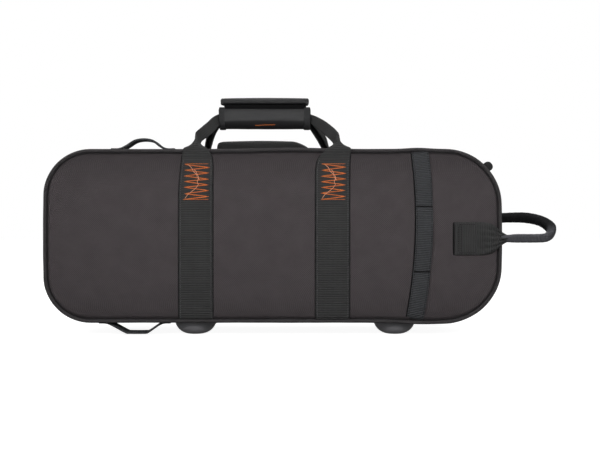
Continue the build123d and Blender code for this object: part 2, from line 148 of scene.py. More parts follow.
def inside(x, z):
    """How far a point is inside the outline."""
    x, z = np.asarray(x, float), np.asarray(z, float)
    radius = np.where(x < MID_X, LEFT_RADIUS, RIGHT_RADIUS)
    qx = np.abs(x - MID_X) - (HALF_LENGTH - radius)
    qz = np.abs(z - MID_Z) - (HALF_HEIGHT - radius)
    outer = np.hypot(np.maximum(qx, 0), np.maximum(qz, 0))
    return radius - outer - np.minimum(np.maximum(qx, qz), 0)


def row_ends(z, inset):
    """Left and right end of a row at height z inside the outline."""
    half_z = HALF_HEIGHT - inset
    ends = []
    for sx, radius in ENDS:
        r = radius - inset
        over = max(0.0, abs(z - MID_Z) - (half_z - r))
        pulled = r - math.sqrt(max(0.0, r * r - over * over))
        ends.append(MID_X + sx * (HALF_LENGTH - inset - pulled))
    return ends


def ripple(x, z, seed):
    """Slow waves that keep stretched cloth from being perfectly flat."""
    total = 0
    for i, (fx, fz, size) in enumerate(((31, 17, 1.0), (53, 41, 0.6), (97, 73, 0.35))):
        total = total + size * np.sin(fx * x + 1.7 * seed + i) * np.cos(fz * z - 2.3 * seed + 2 * i)
    return total


def face_depth(x, z, side):
    """How far the padded face stands from the parting plane at a point."""
    d = np.clip(inside(x, z) - PANEL_INSET, 0, None)
    rise = 1 - np.exp(-d / (34 * MM))
    roll = 2.4 * MM * np.exp(-((d / (1.5 * MM)) ** 2))
    return PANEL + CROWN * rise - roll + 0.18 * MM * ripple(x, z, 1 if side < 0 else 2) * rise


def on_face(xs, zs, side, lift):
    """Points on the padded face, a lift above it."""
    return np.stack((xs, side * (face_depth(xs, zs, side) + lift), zs), axis=1)


# ------------------------------------------------------------------ mesh helpers


def finish_piece(piece, material, body=None, stands_for=()):
    """Gives a piece its material, slot, body and the frame nodes it stands for."""
    if material is not None:
        piece.data.materials.append(material)
    if body:
        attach(piece, body)
    if stands_for:
        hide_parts(*stands_for)
    return piece


def mesh_piece(name, points, faces, uvs):
    """An object from points, faces and one (u, v) in metres for each corner of each face."""
    mesh = bpy.data.meshes.new(name)
    mesh.from_pydata([tuple(map(float, p)) for p in points], [], faces)
    layer = mesh.uv_layers.new(name="UVMap")
    layer.data.foreach_set("uv", np.asarray(uvs, np.float32).ravel())
    mesh.polygons.foreach_set("use_smooth", [True] * len(mesh.polygons))
    mesh.update()
    piece = bpy.data.objects.new(name, mesh)
    bpy.context.scene.collection.objects.link(piece)
    return piece


def loft(name, sections, closed_section=True, closed_path=False):
    """A skin through sections that all have the same number of points."""
    sections = np.asarray(sections, float)
    rows, cols = sections.shape[:2]
    points = sections.reshape(-1, 3)
    along = np.zeros((rows, cols))
    across = np.zeros((rows, cols))
    middle = sections.mean(axis=1)
    along[1:] = np.cumsum(np.linalg.norm(middle[1:] - middle[:-1], axis=1))[:, None]
    across[:, 1:] = np.cumsum(np.linalg.norm(sections[:, 1:] - sections[:, :-1], axis=2), axis=1)
    last_across = across[:, -1] + np.linalg.norm(sections[:, 0] - sections[:, -1], axis=1)
    last_along = along[-1, 0] + np.linalg.norm(middle[0] - middle[-1])
    faces, uvs = [], []
    for r in range(rows if closed_path else rows - 1):
        for c in range(cols if closed_section else cols - 1):
            r2, c2 = (r + 1) % rows, (c + 1) % cols
            faces.append((r * cols + c, r * cols + c2, r2 * cols + c2, r2 * cols + c))
            for row, col, wrap_r, wrap_c in (
                (r, c, False, False),
                (r, c2, False, c2 < c),
                (r2, c2, r2 < r, c2 < c),
                (r2, c, r2 < r, False),
            ):
                u = last_across[row] if wrap_c else across[row, col]
                v = last_along if wrap_r else along[row, 0]
                uvs.append((u, v))
    if closed_section and not closed_path:  # capped at both ends
        for r, order in ((0, range(cols - 1, -1, -1)), (rows - 1, range(cols))):
            face = [r * cols + c for c in order]
            faces.append(tuple(face))
            uvs.extend((points[i][0], points[i][2]) for i in face)
    piece = mesh_piece(name, points, faces, uvs)
    return tidy_normals(piece)


def tidy_normals(piece):
    """Faces that all look outwards."""
    work = bmesh.new()
    work.from_mesh(piece.data)
    bmesh.ops.recalc_face_normals(work, faces=work.faces)
    work.to_mesh(piece.data)
    work.free()
    return piece


def thicken(piece, thickness):
    """Gives a sheet its thickness, inwards."""
    modifier = piece.modifiers.new("thickness", "SOLIDIFY")
    modifier.thickness = thickness
    modifier.offset = -1
    return piece


def smooth_more(piece):
    """Subdivides a piece once."""
    modifier = piece.modifiers.new("subdivision", "SUBSURF")
    modifier.levels = 1
    modifier.render_levels = 1
    return piece


def curve_through(points, count):
    """A smooth line through points (Catmull-Rom), with extra columns carried along."""
    points = np.asarray(points, float)
    padded = np.vstack((2 * points[0] - points[1], points, 2 * points[-1] - points[-2]))
    gaps = np.linalg.norm(points[1:, :3] - points[:-1, :3], axis=1)
    total = np.concatenate(([0], np.cumsum(gaps)))
    result = []
    for run in np.linspace(0, total[-1], count):
        i = min(int(np.searchsorted(total, run, side="right")) - 1, len(points) - 2)
        t = (run - total[i]) / gaps[i]
        a, b, c, d = padded[i : i + 4]
        result.append(
            0.5
            * (
                2 * b
                + (c - a) * t
                + (2 * a - 5 * b + 4 * c - d) * t**2
                + (3 * b - 3 * c + d - a) * t**3
            )
        )
    return np.array(result)


def unit(v):
    v = np.asarray(v, float)
    return v / np.maximum(np.linalg.norm(v, axis=-1, keepdims=True), 1e-12)


def tangents_of(points):
    return unit(np.gradient(np.asarray(points, float), axis=0))


def web_section(width, thickness, fold, pleat=0.0, samples=25):
    """Closed outline of webbing across its width: flat at fold 0, doubled over at fold 1."""
    s = np.linspace(-1, 1, samples)
    angle = math.radians(90 - 80 * fold)
    bent = np.sqrt(s**2 + 0.01 * fold) - math.sqrt(0.01 * fold)
    across = width / 2 * s * math.sin(angle)
    down = -width / 2 * bent * math.cos(angle)
    down = down - down.mean() * 0.9 + pleat * np.cos(5 * math.pi * s) * (1 - 0.4 * s**2)
    line = np.stack((across, down), axis=1)
    tangent = unit(np.gradient(line, axis=0))
    normal = np.stack((-tangent[:, 1], tangent[:, 0]), axis=1)
    half = np.full(samples, thickness / 2)
    half[0] = half[-1] = thickness * 0.28
    return np.vstack((line + normal * half[:, None], (line - normal * half[:, None])[::-1]))


def webbing(name, stations, count, thickness=WEBBING, level_below=-1.0):
    """Webbing along stations of (x, y, z, normal x, y, z, width, fold, pleat).

    Below the height level_below its threads stay level, even where it leans as it narrows.
    """
    line = curve_through(stations, count)
    tangent = tangents_of(line[:, :3])
    tangent[:, 0] *= np.clip((line[:, 2] - level_below) / (14 * MM), 0, 1)
    tangent = unit(tangent)
    normal = line[:, 3:6]
    normal = unit(normal - tangent * (normal * tangent).sum(axis=1, keepdims=True))
    across = np.cross(tangent, normal)
    sections = []
    for i in range(count):
        fold = float(np.clip(line[i, 7], 0, 1))
        shape = web_section(line[i, 6], thickness, fold, line[i, 8])
        sections.append(
            line[i, :3] + shape[:, :1] * across[i] + shape[:, 1:] * normal[i]
        )
    return loft(name, sections)


def add_tube(faces, uvs, first, rings, sides, run, radius):
    """Adds the faces of a capped tube, whose rings of points start at the index first."""
    for r in range(rings - 1):
        a = first + r * sides
        for k in range(sides):
            k2 = (k + 1) % sides
            faces.append((a + k, a + k2, a + sides + k2, a + sides + k))
            u0, u1 = k * radius, (k + 1) * radius
            uvs.extend(((u0, run[r]), (u1, run[r]), (u1, run[r + 1]), (u0, run[r + 1])))
    faces.append(tuple(first + k for k in range(sides - 1, -1, -1)))
    faces.append(tuple(first + (rings - 1) * sides + k for k in range(sides)))
    uvs.extend([(0, 0)] * (2 * sides))


def dashes(name, runs, radius, pitch, length, material, body, sink=0.3):
    """Stitches along runs of (points, normals): short threads whose ends dip into the cloth."""
    points, faces, uvs = [], [], []
    sides, rings = 6, 5
    bow = np.sin(np.linspace(0, math.pi, rings))
    for line, normal in runs:
        line, normal = np.asarray(line, float), np.asarray(normal, float)
        gaps = np.linalg.norm(line[1:] - line[:-1], axis=1)
        total = np.concatenate(([0], np.cumsum(gaps)))
        starts = np.arange(pitch / 2, total[-1] - length, pitch)
        for start in starts:
            where = np.linspace(start, start + length, rings)
            centre = np.stack([np.interp(where, total, line[:, k]) for k in range(3)], axis=1)
            up = unit(np.stack([np.interp(where, total, normal[:, k]) for k in range(3)], axis=1))
            along = unit(centre[-1] - centre[0])
            aside = unit(np.cross(np.broadcast_to(along, up.shape), up))
            first = len(points)
            for r in range(rings):
                lift = radius * (bow[r] * (0.6 + sink) - sink)
                thick = radius * (0.55 + 0.45 * bow[r])
                for k in range(sides):
                    a = 2 * math.pi * k / sides
                    points.append(
                        centre[r]
                        + up[r] * (lift + thick * math.cos(a))
                        + aside[r] * thick * math.sin(a)
                    )
            add_tube(faces, uvs, first, rings, sides, where, radius)
    piece = mesh_piece(name, points, faces, uvs)
    tidy_normals(piece)
    return finish_piece(piece, material, body)


def final_mesh(piece):
    """The piece's mesh with its modifiers applied."""
    bpy.context.view_layer.update()
    graph = bpy.context.evaluated_depsgraph_get()
    return bpy.data.meshes.new_from_object(piece.evaluated_get(graph))


def inflate(piece, voxel=4 * MM, pressure=4.0, cap=3 * MM):
    """Stuffs a closed piece: cloth under pressure, with a cap on how far a point may move."""
    remesh = piece.modifiers.new("remesh", "REMESH")
    remesh.mode = "VOXEL"
    remesh.voxel_size = voxel
    mesh = final_mesh(piece)
    piece.modifiers.clear()
    piece.data = mesh
    start = np.zeros(len(mesh.vertices) * 3)
    mesh.vertices.foreach_get("co", start)
    modifier = piece.modifiers.new("cloth", "CLOTH")
    modifier.settings.use_pressure = True
    modifier.settings.uniform_pressure_force = pressure
    modifier.settings.effector_weights.gravity = 0
    modifier.point_cache.frame_start = 1
    modifier.point_cache.frame_end = 20
    for step in range(1, 21):
        bpy.context.scene.frame_set(step)
    swollen = final_mesh(piece)
    piece.modifiers.clear()
    end = np.zeros(len(swollen.vertices) * 3)
    swollen.vertices.foreach_get("co", end)
    moved = (end - start).reshape(-1, 3)
    size = np.linalg.norm(moved, axis=1, keepdims=True)
    moved *= np.minimum(1, cap / np.maximum(size, 1e-9))
    piece.data = swollen
    piece.data.vertices.foreach_set("co", (start.reshape(-1, 3) + moved).ravel())
    piece.data.polygons.foreach_set("use_smooth", [True] * len(piece.data.polygons))
    bpy.context.scene.frame_set(1)
    return smooth_more(piece)


def drape(piece, points, direction=(0, 1, 0), lift=0.0):
    """Drops points on a piece along a direction. Gives points and surface normals."""
    bpy.context.view_layer.update()
    tree = BVHTree.FromObject(piece, bpy.context.evaluated_depsgraph_get())
    way = Vector(direction).normalized()
    places, normals = [], []
    for point in points:
        hit, normal, _, _ = tree.ray_cast(Vector(point) - way * 0.08, way)
        if hit is None:
            hit, normal = Vector(point), -way
        if normal.dot(way) > 0:
            normal = -normal
        places.append(np.array(hit + normal * lift))
        normals.append(np.array(normal))
    return np.array(places), np.array(normals)


def thread(name, lines, radius, material, body):
    """Round threads or cords that follow lines of points."""
    sides = 7
    points, faces, uvs = [], [], []
    for line in lines:
        line = np.asarray(line, float)
        tangent = tangents_of(line)
        run = np.concatenate(([0], np.cumsum(np.linalg.norm(line[1:] - line[:-1], axis=1))))
        aside = unit(np.cross(tangent, (0.13, 0.97, 0.21)))
        up = np.cross(aside, tangent)
        first = len(points)
        for i in range(len(line)):
            end = min(i, len(line) - 1 - i)
            r = radius * (0.55 if end == 0 else 1.0)
            for k in range(sides):
                a = 2 * math.pi * k / sides
                points.append(line[i] + aside[i] * r * math.cos(a) + up[i] * r * math.sin(a))
        add_tube(faces, uvs, first, len(line), sides, run, radius)
    piece = mesh_piece(name, points, faces, uvs)
    tidy_normals(piece)
    return finish_piece(piece, material, body)


def between(a, b, count):
    """Points from a to b."""
    return np.linspace(np.asarray(a, float), np.asarray(b, float), count)


def merge(name, pieces):
    """One object from several, with their UVs."""
    work = bmesh.new()
    for piece in pieces:
        work.from_mesh(piece.data)
        bpy.data.objects.remove(piece)
    mesh = bpy.data.meshes.new(name)
    work.to_mesh(mesh)
    work.free()
    whole = bpy.data.objects.new(name, mesh)
    bpy.context.scene.collection.objects.link(whole)
    return whole


# ------------------------------------------------------------------ materials


def linear(rgb):
    """sRGB 0-255 to linear, with alpha."""
    out = []
    for value in rgb:
        v = value / 255
        out.append(v / 12.92 if v <= 0.04045 else ((v + 0.055) / 1.055) ** 2.4)
    return (*out, 1.0)


def new_material(name, roughness, sheen=0.0, specular=0.3):
    material = bpy.data.materials.new(name)
    material.use_nodes = True
    tree = material.node_tree
    shader = tree.nodes["Principled BSDF"]
    shader.inputs["Roughness"].default_value = roughness
    shader.inputs["Specular IOR Level"].default_value = specular
    if sheen:
        shader.inputs["Sheen Weight"].default_value = sheen
        shader.inputs["Sheen Roughness"].default_value = 0.5
    return material, tree, shader


def calc(tree, operation, first, second=0.0):
    """A math node. Each input is a number or a socket."""
    node = tree.nodes.new("ShaderNodeMath")
    node.operation = operation
    for socket, value in zip(node.inputs, (first, second)):
        if isinstance(value, (int, float)):
            socket.default_value = value
        else:
            tree.links.new(value, socket)
    return node.outputs[0]


def blend_colour(tree, factor, dark, light):
    node = tree.nodes.new("ShaderNodeMix")
    node.data_type = "RGBA"
    tree.links.new(factor, node.inputs["Factor"])
    node.inputs[6].default_value = dark
    node.inputs[7].default_value = light
    return node.outputs[2]


def noise_at(tree, vector, scale, detail=3.0):
    node = tree.nodes.new("ShaderNodeTexNoise")
    node.inputs["Scale"].default_value = scale
    node.inputs["Detail"].default_value = detail
    tree.links.new(vector, node.inputs["Vector"])
    return node.outputs["Fac"]


def shades(rgb, spread):
    """A darker and a lighter tone round an sRGB colour."""
    dark = tuple(c * (1 - spread) for c in rgb)
    light = tuple(min(255, c * (1 + spread)) for c in rgb)
    return linear(dark), linear(light)


def connect(tree, shader, colour, height, distance, strength=1.0):
    tree.links.new(colour, shader.inputs["Base Color"])
    bump = tree.nodes.new("ShaderNodeBump")
    bump.inputs["Distance"].default_value = distance
    bump.inputs["Strength"].default_value = strength
    tree.links.new(height, bump.inputs["Height"])
    tree.links.new(bump.outputs[0], shader.inputs["Normal"])


def cloth(
    name, rgb, pitch, kind="weave", roughness=0.8, sheen=0.0, relief=0.25, spread=0.22,
    coords="UV", specular=0.12,
):
    """Woven cloth in metres on UV or Object coordinates. kind is weave, twill, rib or brushed."""
    material, tree, shader = new_material(name, roughness, sheen, specular)
    uv = tree.nodes.new("ShaderNodeTexCoord").outputs[coords]
    split = tree.nodes.new("ShaderNodeSeparateXYZ")
    tree.links.new(uv, split.inputs[0])
    u, v = split.outputs[0], split.outputs[1]
    if coords == "Object":
        v = calc(tree, "ADD", v, split.outputs[2])
    turn = 2 * math.pi / pitch
    slow = noise_at(tree, uv, 38, 3)
    fuzz = noise_at(tree, uv, 1400, 2)
    if kind == "weave":
        height = calc(
            tree,
            "MULTIPLY",
            calc(tree, "SINE", calc(tree, "MULTIPLY", u, turn)),
            calc(tree, "SINE", calc(tree, "MULTIPLY", v, turn)),
        )
    elif kind == "twill":
        height = calc(tree, "SINE", calc(tree, "MULTIPLY", calc(tree, "ADD", u, v), turn))
    elif kind == "rib":
        ribs = calc(tree, "SINE", calc(tree, "MULTIPLY", v, turn))
        threads = calc(tree, "SINE", calc(tree, "MULTIPLY", u, turn * 1.4))
        height = calc(tree, "ADD", ribs, calc(tree, "MULTIPLY", threads, 0.35))
    else:
        height = noise_at(tree, uv, 500, 6)
    level = calc(tree, "ADD", calc(tree, "MULTIPLY", height, 0.3), 0.5)
    level = calc(tree, "ADD", level, calc(tree, "MULTIPLY", calc(tree, "SUBTRACT", slow, 0.5), 0.4))
    level = calc(tree, "ADD", level, calc(tree, "MULTIPLY", calc(tree, "SUBTRACT", fuzz, 0.5), 0.5))
    colour = blend_colour(tree, level, *shades(rgb, spread))
    rough = calc(tree, "ADD", calc(tree, "MULTIPLY", fuzz, 0.15), roughness - 0.08)
    tree.links.new(rough, shader.inputs["Roughness"])
    whole = calc(tree, "ADD", height, calc(tree, "MULTIPLY", fuzz, 0.8))
    connect(tree, shader, colour, whole, relief * MM)
    return material


def paint_shade_along(material, start, end, dark):
    """Paints shade on a cloth smoothly from start to end along its v: a loop's back run, or a face's
    top and bottom edges.
    """
    tree = material.node_tree
    shader = tree.nodes["Principled BSDF"]
    old = shader.inputs["Base Color"].links[0].from_socket
    split = tree.nodes.new("ShaderNodeSeparateXYZ")
    tree.links.new(tree.nodes.new("ShaderNodeTexCoord").outputs["UV"], split.inputs[0])
    span = tree.nodes.new("ShaderNodeMapRange")
    span.interpolation_type = "SMOOTHSTEP"
    span.inputs["From Min"].default_value = start
    span.inputs["From Max"].default_value = end
    span.inputs["To Min"].default_value = 1.0
    span.inputs["To Max"].default_value = dark
    tree.links.new(split.outputs[1], span.inputs["Value"])
    scale = tree.nodes.new("ShaderNodeVectorMath")
    scale.operation = "SCALE"
    tree.links.new(old, scale.inputs[0])
    tree.links.new(span.outputs[0], scale.inputs["Scale"])
    tree.links.new(scale.outputs[0], shader.inputs["Base Color"])


def hard(name, rgb, roughness, metallic=0.0, grain=900, relief=0.02, spread=0.06, specular=0.5):
    """Moulded plastic or painted metal, with a fine grain."""
    material, tree, shader = new_material(name, roughness, specular=specular)
    shader.inputs["Metallic"].default_value = metallic
    place = tree.nodes.new("ShaderNodeTexCoord").outputs["Object"]
    fine = noise_at(tree, place, grain, 2)
    slow = noise_at(tree, place, 25, 4)
    colour = blend_colour(tree, slow, *shades(rgb, spread))
    rough = calc(tree, "ADD", calc(tree, "MULTIPLY", slow, 0.2), roughness - 0.1)
    tree.links.new(rough, shader.inputs["Roughness"])
    connect(tree, shader, colour, fine, relief * MM)
    return material


NYLON = cloth("ballistic_nylon", (65.5, 61, 62.5), 3.0 * MM, "weave", relief=0.3, spread=0.2)
# Copy of the ballistic nylon for the padded faces, carrying painted shade towards their top and bottom
# edges.
SHADED_FACE_NYLON = cloth("face_nylon_painted_shade", (65.5, 61, 62.5), 3.0 * MM, "weave", relief=0.3, spread=0.2)
WIDE_WEB = cloth("wide_webbing", (57, 57, 57), 2.6 * MM, "rib", relief=0.5, spread=0.16)
NARROW_WEB = cloth("narrow_webbing", (61, 62, 64), 2.6 * MM, "rib", relief=0.5, spread=0.18)
PIPING_CLOTH = cloth("piping_tape", (57, 55, 56), 1.4 * MM, "twill", relief=0.15)
PADDED = cloth(
    "padded_nylon", (34, 34, 35), 1.4 * MM, "weave", 0.45, relief=0.12, coords="Object", specular=0.5
)
PAD_BLACK = cloth(
    "padded_black", (22, 22, 22), 1.4 * MM, "weave", 0.6, relief=0.12, coords="Object", specular=0.3
)
# Painted shade: a darker copy of the padded nylon for the flap, which faces the top and back lights.
SHADED_FLAP_CLOTH = cloth(
    "flap_nylon_painted_shade", (28, 28, 29), 1.4 * MM, "weave", 0.5, relief=0.12, coords="Object", specular=0.4
)
BINDING = cloth("grosgrain", (52, 52, 53), 1.6 * MM, "rib", relief=0.2)
LINING = cloth("brushed_lining", (66, 66, 70), 1.0 * MM, "brushed", 0.95, 0.1)
FOAM = cloth("foam_cover", (54, 54, 58), 1.0 * MM, "brushed", 0.95, 0.1, 0.4, coords="Object")
TAPE = cloth("zip_tape", (20, 20, 21), 1.2 * MM, "twill", relief=0.15)
# Partly the piping flange's own dark cloth, partly painted shade for the groove round the faces.
FLANGE_AND_GROOVE_SHADE_CLOTH = cloth("piping_flange_and_groove_shade", (36, 34, 35), 1.4 * MM, "twill", relief=0.15)
COIL = cloth("zip_coil", (30, 30, 32), 0.9 * MM, "rib", 0.4, relief=0.05, specular=0.5)
# Hook-and-loop is black, but this near-black is also painted shade for the gap under the flap's lip.
HOOK_BLACK_AND_SHADE = cloth("hook_and_loop", (12, 12, 13), 0.9 * MM, "brushed", 0.95, relief=0.6, coords="Object")
THREAD = cloth("black_thread", (24, 24, 25), 0.5 * MM, "twill", relief=0.1)
GREY_THREAD = cloth("grey_thread", (92, 92, 94), 0.5 * MM, "twill", relief=0.1)
ORANGE = cloth("orange_thread", (218, 108, 58), 0.8 * MM, "twill", relief=0.1, spread=0.34)
PALE_ORANGE = cloth("pale_thread", (226, 158, 124), 0.8 * MM, "twill", relief=0.1, spread=0.2)
LOOP = cloth("end_loop_webbing", (80, 80, 84), 2.2 * MM, "rib", relief=0.3, spread=0.12)
# Painted shade: along its v the loop turns near black on its upper, back run, standing for that run
# being in shadow.
paint_shade_along(LOOP, 0.07, 0.105, 0.1)
# Painted shade: the faces darken towards their top edge and towards their bottom edge, where the
# padding turns away from the light.
paint_shade_along(SHADED_FACE_NYLON, 0.185, 0.24, 0.86)
paint_shade_along(SHADED_FACE_NYLON, 0.06, 0.0, 0.9)
FOOT = hard("foot_plastic", (118, 117, 120), 0.3)
PULL = hard("pull_plastic", (26, 26, 27), 0.6, specular=0.2)
SLIDER = hard("slider_metal", (42, 42, 43), 0.35, metallic=0.6)
SCREW = hard("screw_steel", (150, 150, 150), 0.3, metallic=1.0)
BOARD = hard("board", (40, 40, 41), 0.8, grain=400)

for node, material in (
    ("base_feet", FOOT),
    ("lid_feet", FOOT),
    ("base_foot_screws", SCREW),
    ("lid_foot_screws", SCREW),
    ("corner_zip_slider", SLIDER),
    ("top_zip_slider", SLIDER),
    ("corner_zip_pull", PULL),
    ("top_zip_pull", PULL),
    ("base_board", BOARD),
    ("lid_board", BOARD),
):
    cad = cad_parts[node]
    cad.data.materials.clear()
    cad.data.materials.append(material)

# ------------------------------------------------------------------ camera

FACE_DISTANCE = 1300 * MM
FRAME_WIDTH = 885 * MM  # width of the view at the near face
camera_data = bpy.data.cameras.new("camera")
camera_data.sensor_width = 36
camera_data.lens = 36 * FACE_DISTANCE / FRAME_WIDTH
camera_data.clip_start = 0.05
camera_data.clip_end = 50
camera = bpy.data.objects.new("camera", camera_data)
camera.location = at(40.6, -1390, 164.6)
camera.rotation_euler = (math.radians(90), 0, 0)
bpy.context.scene.collection.objects.link(camera)
bpy.context.scene.camera = camera

# ------------------------------------------------------------------ shells


def circle_round_ring(side, radius):
    """Sections round the outline: a tube centred one radius inside it."""
    centre_y = side * (FACE - PIPING)
    sections = []
    for p, n, run in zip(RING, RING_NORMAL, RING_RUN):
        centre = np.array((p[0] - n[0] * PIPING, centre_y, p[1] - n[1] * PIPING))
        centre = soften(centre)
        outward = np.array((n[0], 0, n[1]))
        wobble = radius * (1 + 0.03 * math.sin(run * 47) + 0.02 * math.sin(run * 131))
        sections.append(
            [
                centre
                + outward * wobble * math.cos(a)
                + np.array((0, side, 0)) * wobble * math.sin(a)
                for a in np.linspace(0, 2 * math.pi, 14, endpoint=False)
            ]
        )
    return sections


def spread(low, high, count, bunch):
    """Numbers from low to high that crowd together at both ends."""
    t = np.linspace(-1, 1, count)
    t = np.sign(t) * (1 - (1 - np.abs(t)) ** bunch)
    return low + (high - low) * (t + 1) / 2


FLANGE = ((3.0, 84.6), (3.8, 86.4), (6.4, 86.9), (9.5, 86.6), (9.5, 85.4))  # inset, depth (mm)
WALL_DEPTHS = (84.2, 82, 78, 70, 58, 44, 30, 20, 16, 13, 8, 1)  # mm, from the seam to the opening

for side, half in SIDES:
    piping = loft(half + "_piping_cord", circle_round_ring(side, PIPING), closed_path=True)
    finish_piece(piping, PIPING_CLOTH, half, [half + "_piping"])

    # The padded face: rows from bottom to top, each from the left edge to the right edge
    rows = []
    half_z = HALF_HEIGHT - PANEL_INSET
    for z in spread(MID_Z - half_z, MID_Z + half_z, 60, 1.7):
        x = spread(*row_ends(z, PANEL_INSET), 120, 1.5)
        zs = np.full_like(x, z)
        y = side * face_depth(x, zs, side)
        rows.append(soften(np.stack((x, y, zs), axis=1)))
    panel = loft(half + "_padded_face", rows, closed_section=False)
    if panel.data.polygons[2000].normal.y * side < 0:
        panel.data.flip_normals()
    thicken(panel, 1.2 * MM)
    finish_piece(panel, SHADED_FACE_NYLON, half, [half + "_face_panel"])

    # The dark flange of the piping, seen as a groove round the padded face: its dark is partly the
    # flange's own cloth, partly painted shade in the groove
    sections = [ring_at(inset * MM, side * depth * MM) for inset, depth in FLANGE]
    flange = loft(half + "_piping_flange_and_groove_shade", np.swapaxes(sections, 0, 1), closed_path=True)
    finish_piece(flange, FLANGE_AND_GROOVE_SHADE_CLOTH, half)

    # The wall round the edge, sewn in behind the piping and under the zip tape
    sections = []
    for depth in WALL_DEPTHS:
        slack = 0.35 * MM * np.sin(RING_RUN * 23 + depth * 0.05) * math.sin(math.pi * depth / 90)
        tuck = 0.9 * MM * math.exp(-(((depth - WALL_DEPTHS[0]) / 2) ** 2))
        inset = SKIN_INSET + tuck - slack
        if depth <= 16:  # flat where the zip tape is sewn on
            inset = np.full(len(RING), SKIN_INSET + 0.1 * MM)
        sections.append(ring_at(inset, side * depth * MM))
    wall = loft(
        half + "_wall_cloth", np.swapaxes(sections, 0, 1), closed_section=False, closed_path=True
    )
    thicken(wall, 1.0 * MM)
    finish_piece(wall, NYLON, half, [half + "_side_wall"])

# ------------------------------------------------------------------ carry handle webbing


def stations(rows, side):
    """Stations in mm become metres; y and its normal are mirrored for the lid side."""
    out = []
    for x, y, z, nx, ny, nz, width, fold, *pleat in rows:
        flip = -side
        folds = pleat[0] * MM if pleat else 0.0
        out.append((*at(x, flip * y, z), nx, flip * ny, nz, width * MM, fold, folds))
    return out


def strap_rows(x, side, taper, up=True):
    """Stations on one face, from the bottom seam to the top edge, where it starts to narrow."""
    rows = [(x, -86.4, 25.0, 0, -1, 0, 50, 0), (x, -88.6, 27.5, 0, -1, 0, 50, 0)]
    levels = [(z, x, 50) for z in (34, 60, 100, 140, 180, 212)]
    for z, middle, width in levels + list(taper):
        depth = float(face_depth(MID_X + middle * MM, z * MM, side)) / MM + 1.1
        rows.append((middle, -max(depth, 91.2 if z > 269 else 0), z, 0, -1, 0, width, 0))
    return rows if up else rows[::-1]


LEFT_X = -113  # middles of the face straps
RIGHT_X = 88.5
NECK = 286 * MM  # height where the straps leave the face
# Height, middle and width of each strap where it narrows
left_taper = ((235, -112.2, 48.5), (253, -111.3, 46.5), (264, -111.2, 44.5), (270.5, -112.3, 41.5))
right_taper = (
    (235, 88.6, 50), (250, 89.0, 49.5), (257, 89.8, 48.5), (264, 91.3, 46.5), (270.5, 94.8, 41.5),
)
left_top = (
    (-113.8, -92.4, 277.0, 0, -1, 0.1, 36, 0.06),
    (-113.4, -91.0, 281.5, 0, -0.97, 0.25, 31, 0.3),
    (-112.9, -85.0, 286.5, 0, -0.9, 0.5, 35, 0.72),
    (-113.1, -77.5, 290.5, 0, -0.9, 0.4, 38, 0.92),
    (-113.8, -70.0, 295.5, -0.1, -0.9, 0.3, 36, 0.95),
    (-112.1, -62.0, 300.5, -0.3, -0.9, 0.4, 36, 0.9),
    (-105.1, -50.0, 308.1, -0.45, -0.8, 0.5, 36, 0.86),
    (-98.2, -36.0, 316.5, -0.45, -0.8, 0.5, 36, 0.86),
    (-93.0, -22.0, 325.2, -0.4, -0.75, 0.6, 33, 0.86),
    (-86.5, -11.0, 331.8, -0.2, -0.5, 0.9, 28, 0.9),
    (-76.0, -8.0, 334.6, 0, 0, 1, 26, 0.95),
    (-66.0, -7.5, 335.0, 0, 0, 1, 26, 0.95),
)
right_top = (
    (37.0, -7.5, 335.0, 0, 0, 1, 26, 0.95),
    (48.0, -8.0, 334.0, 0, 0, 1, 26, 0.95),
    (60.4, -12.0, 330.4, 0.2, -0.5, 0.9, 28, 0.9),
    (70.1, -24.0, 323.6, 0.4, -0.75, 0.6, 33, 0.86),
    (80.4, -40.0, 314.7, 0.45, -0.8, 0.5, 36, 0.86),
    (90.2, -54.0, 304.8, 0.45, -0.8, 0.5, 36, 0.86),
    (96.2, -67.0, 296.6, 0.2, -0.9, 0.4, 37, 0.9),
    (97.0, -77.5, 290.5, 0, -0.9, 0.4, 38, 0.92),
    (96.8, -85.0, 286.5, 0, -0.9, 0.5, 35, 0.74),
    (97.9, -91.0, 281.5, 0, -0.97, 0.25, 31, 0.28),
    (98.0, -92.4, 277.0, 0, -1, 0.1, 36, 0.06),
)
left_up = strap_rows(LEFT_X, BASE, left_taper)
right_down = strap_rows(RIGHT_X, BASE, right_taper, up=False)
front = stations((*left_up, *left_top, *right_top, *right_down), BASE)
front_web = webbing("front_webbing", front, 300, level_below=NECK)
finish_piece(
    front_web, WIDE_WEB, None,
    ["front_carry_loop", "front_strap_left", "front_strap_right"],
)
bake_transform(front_web)

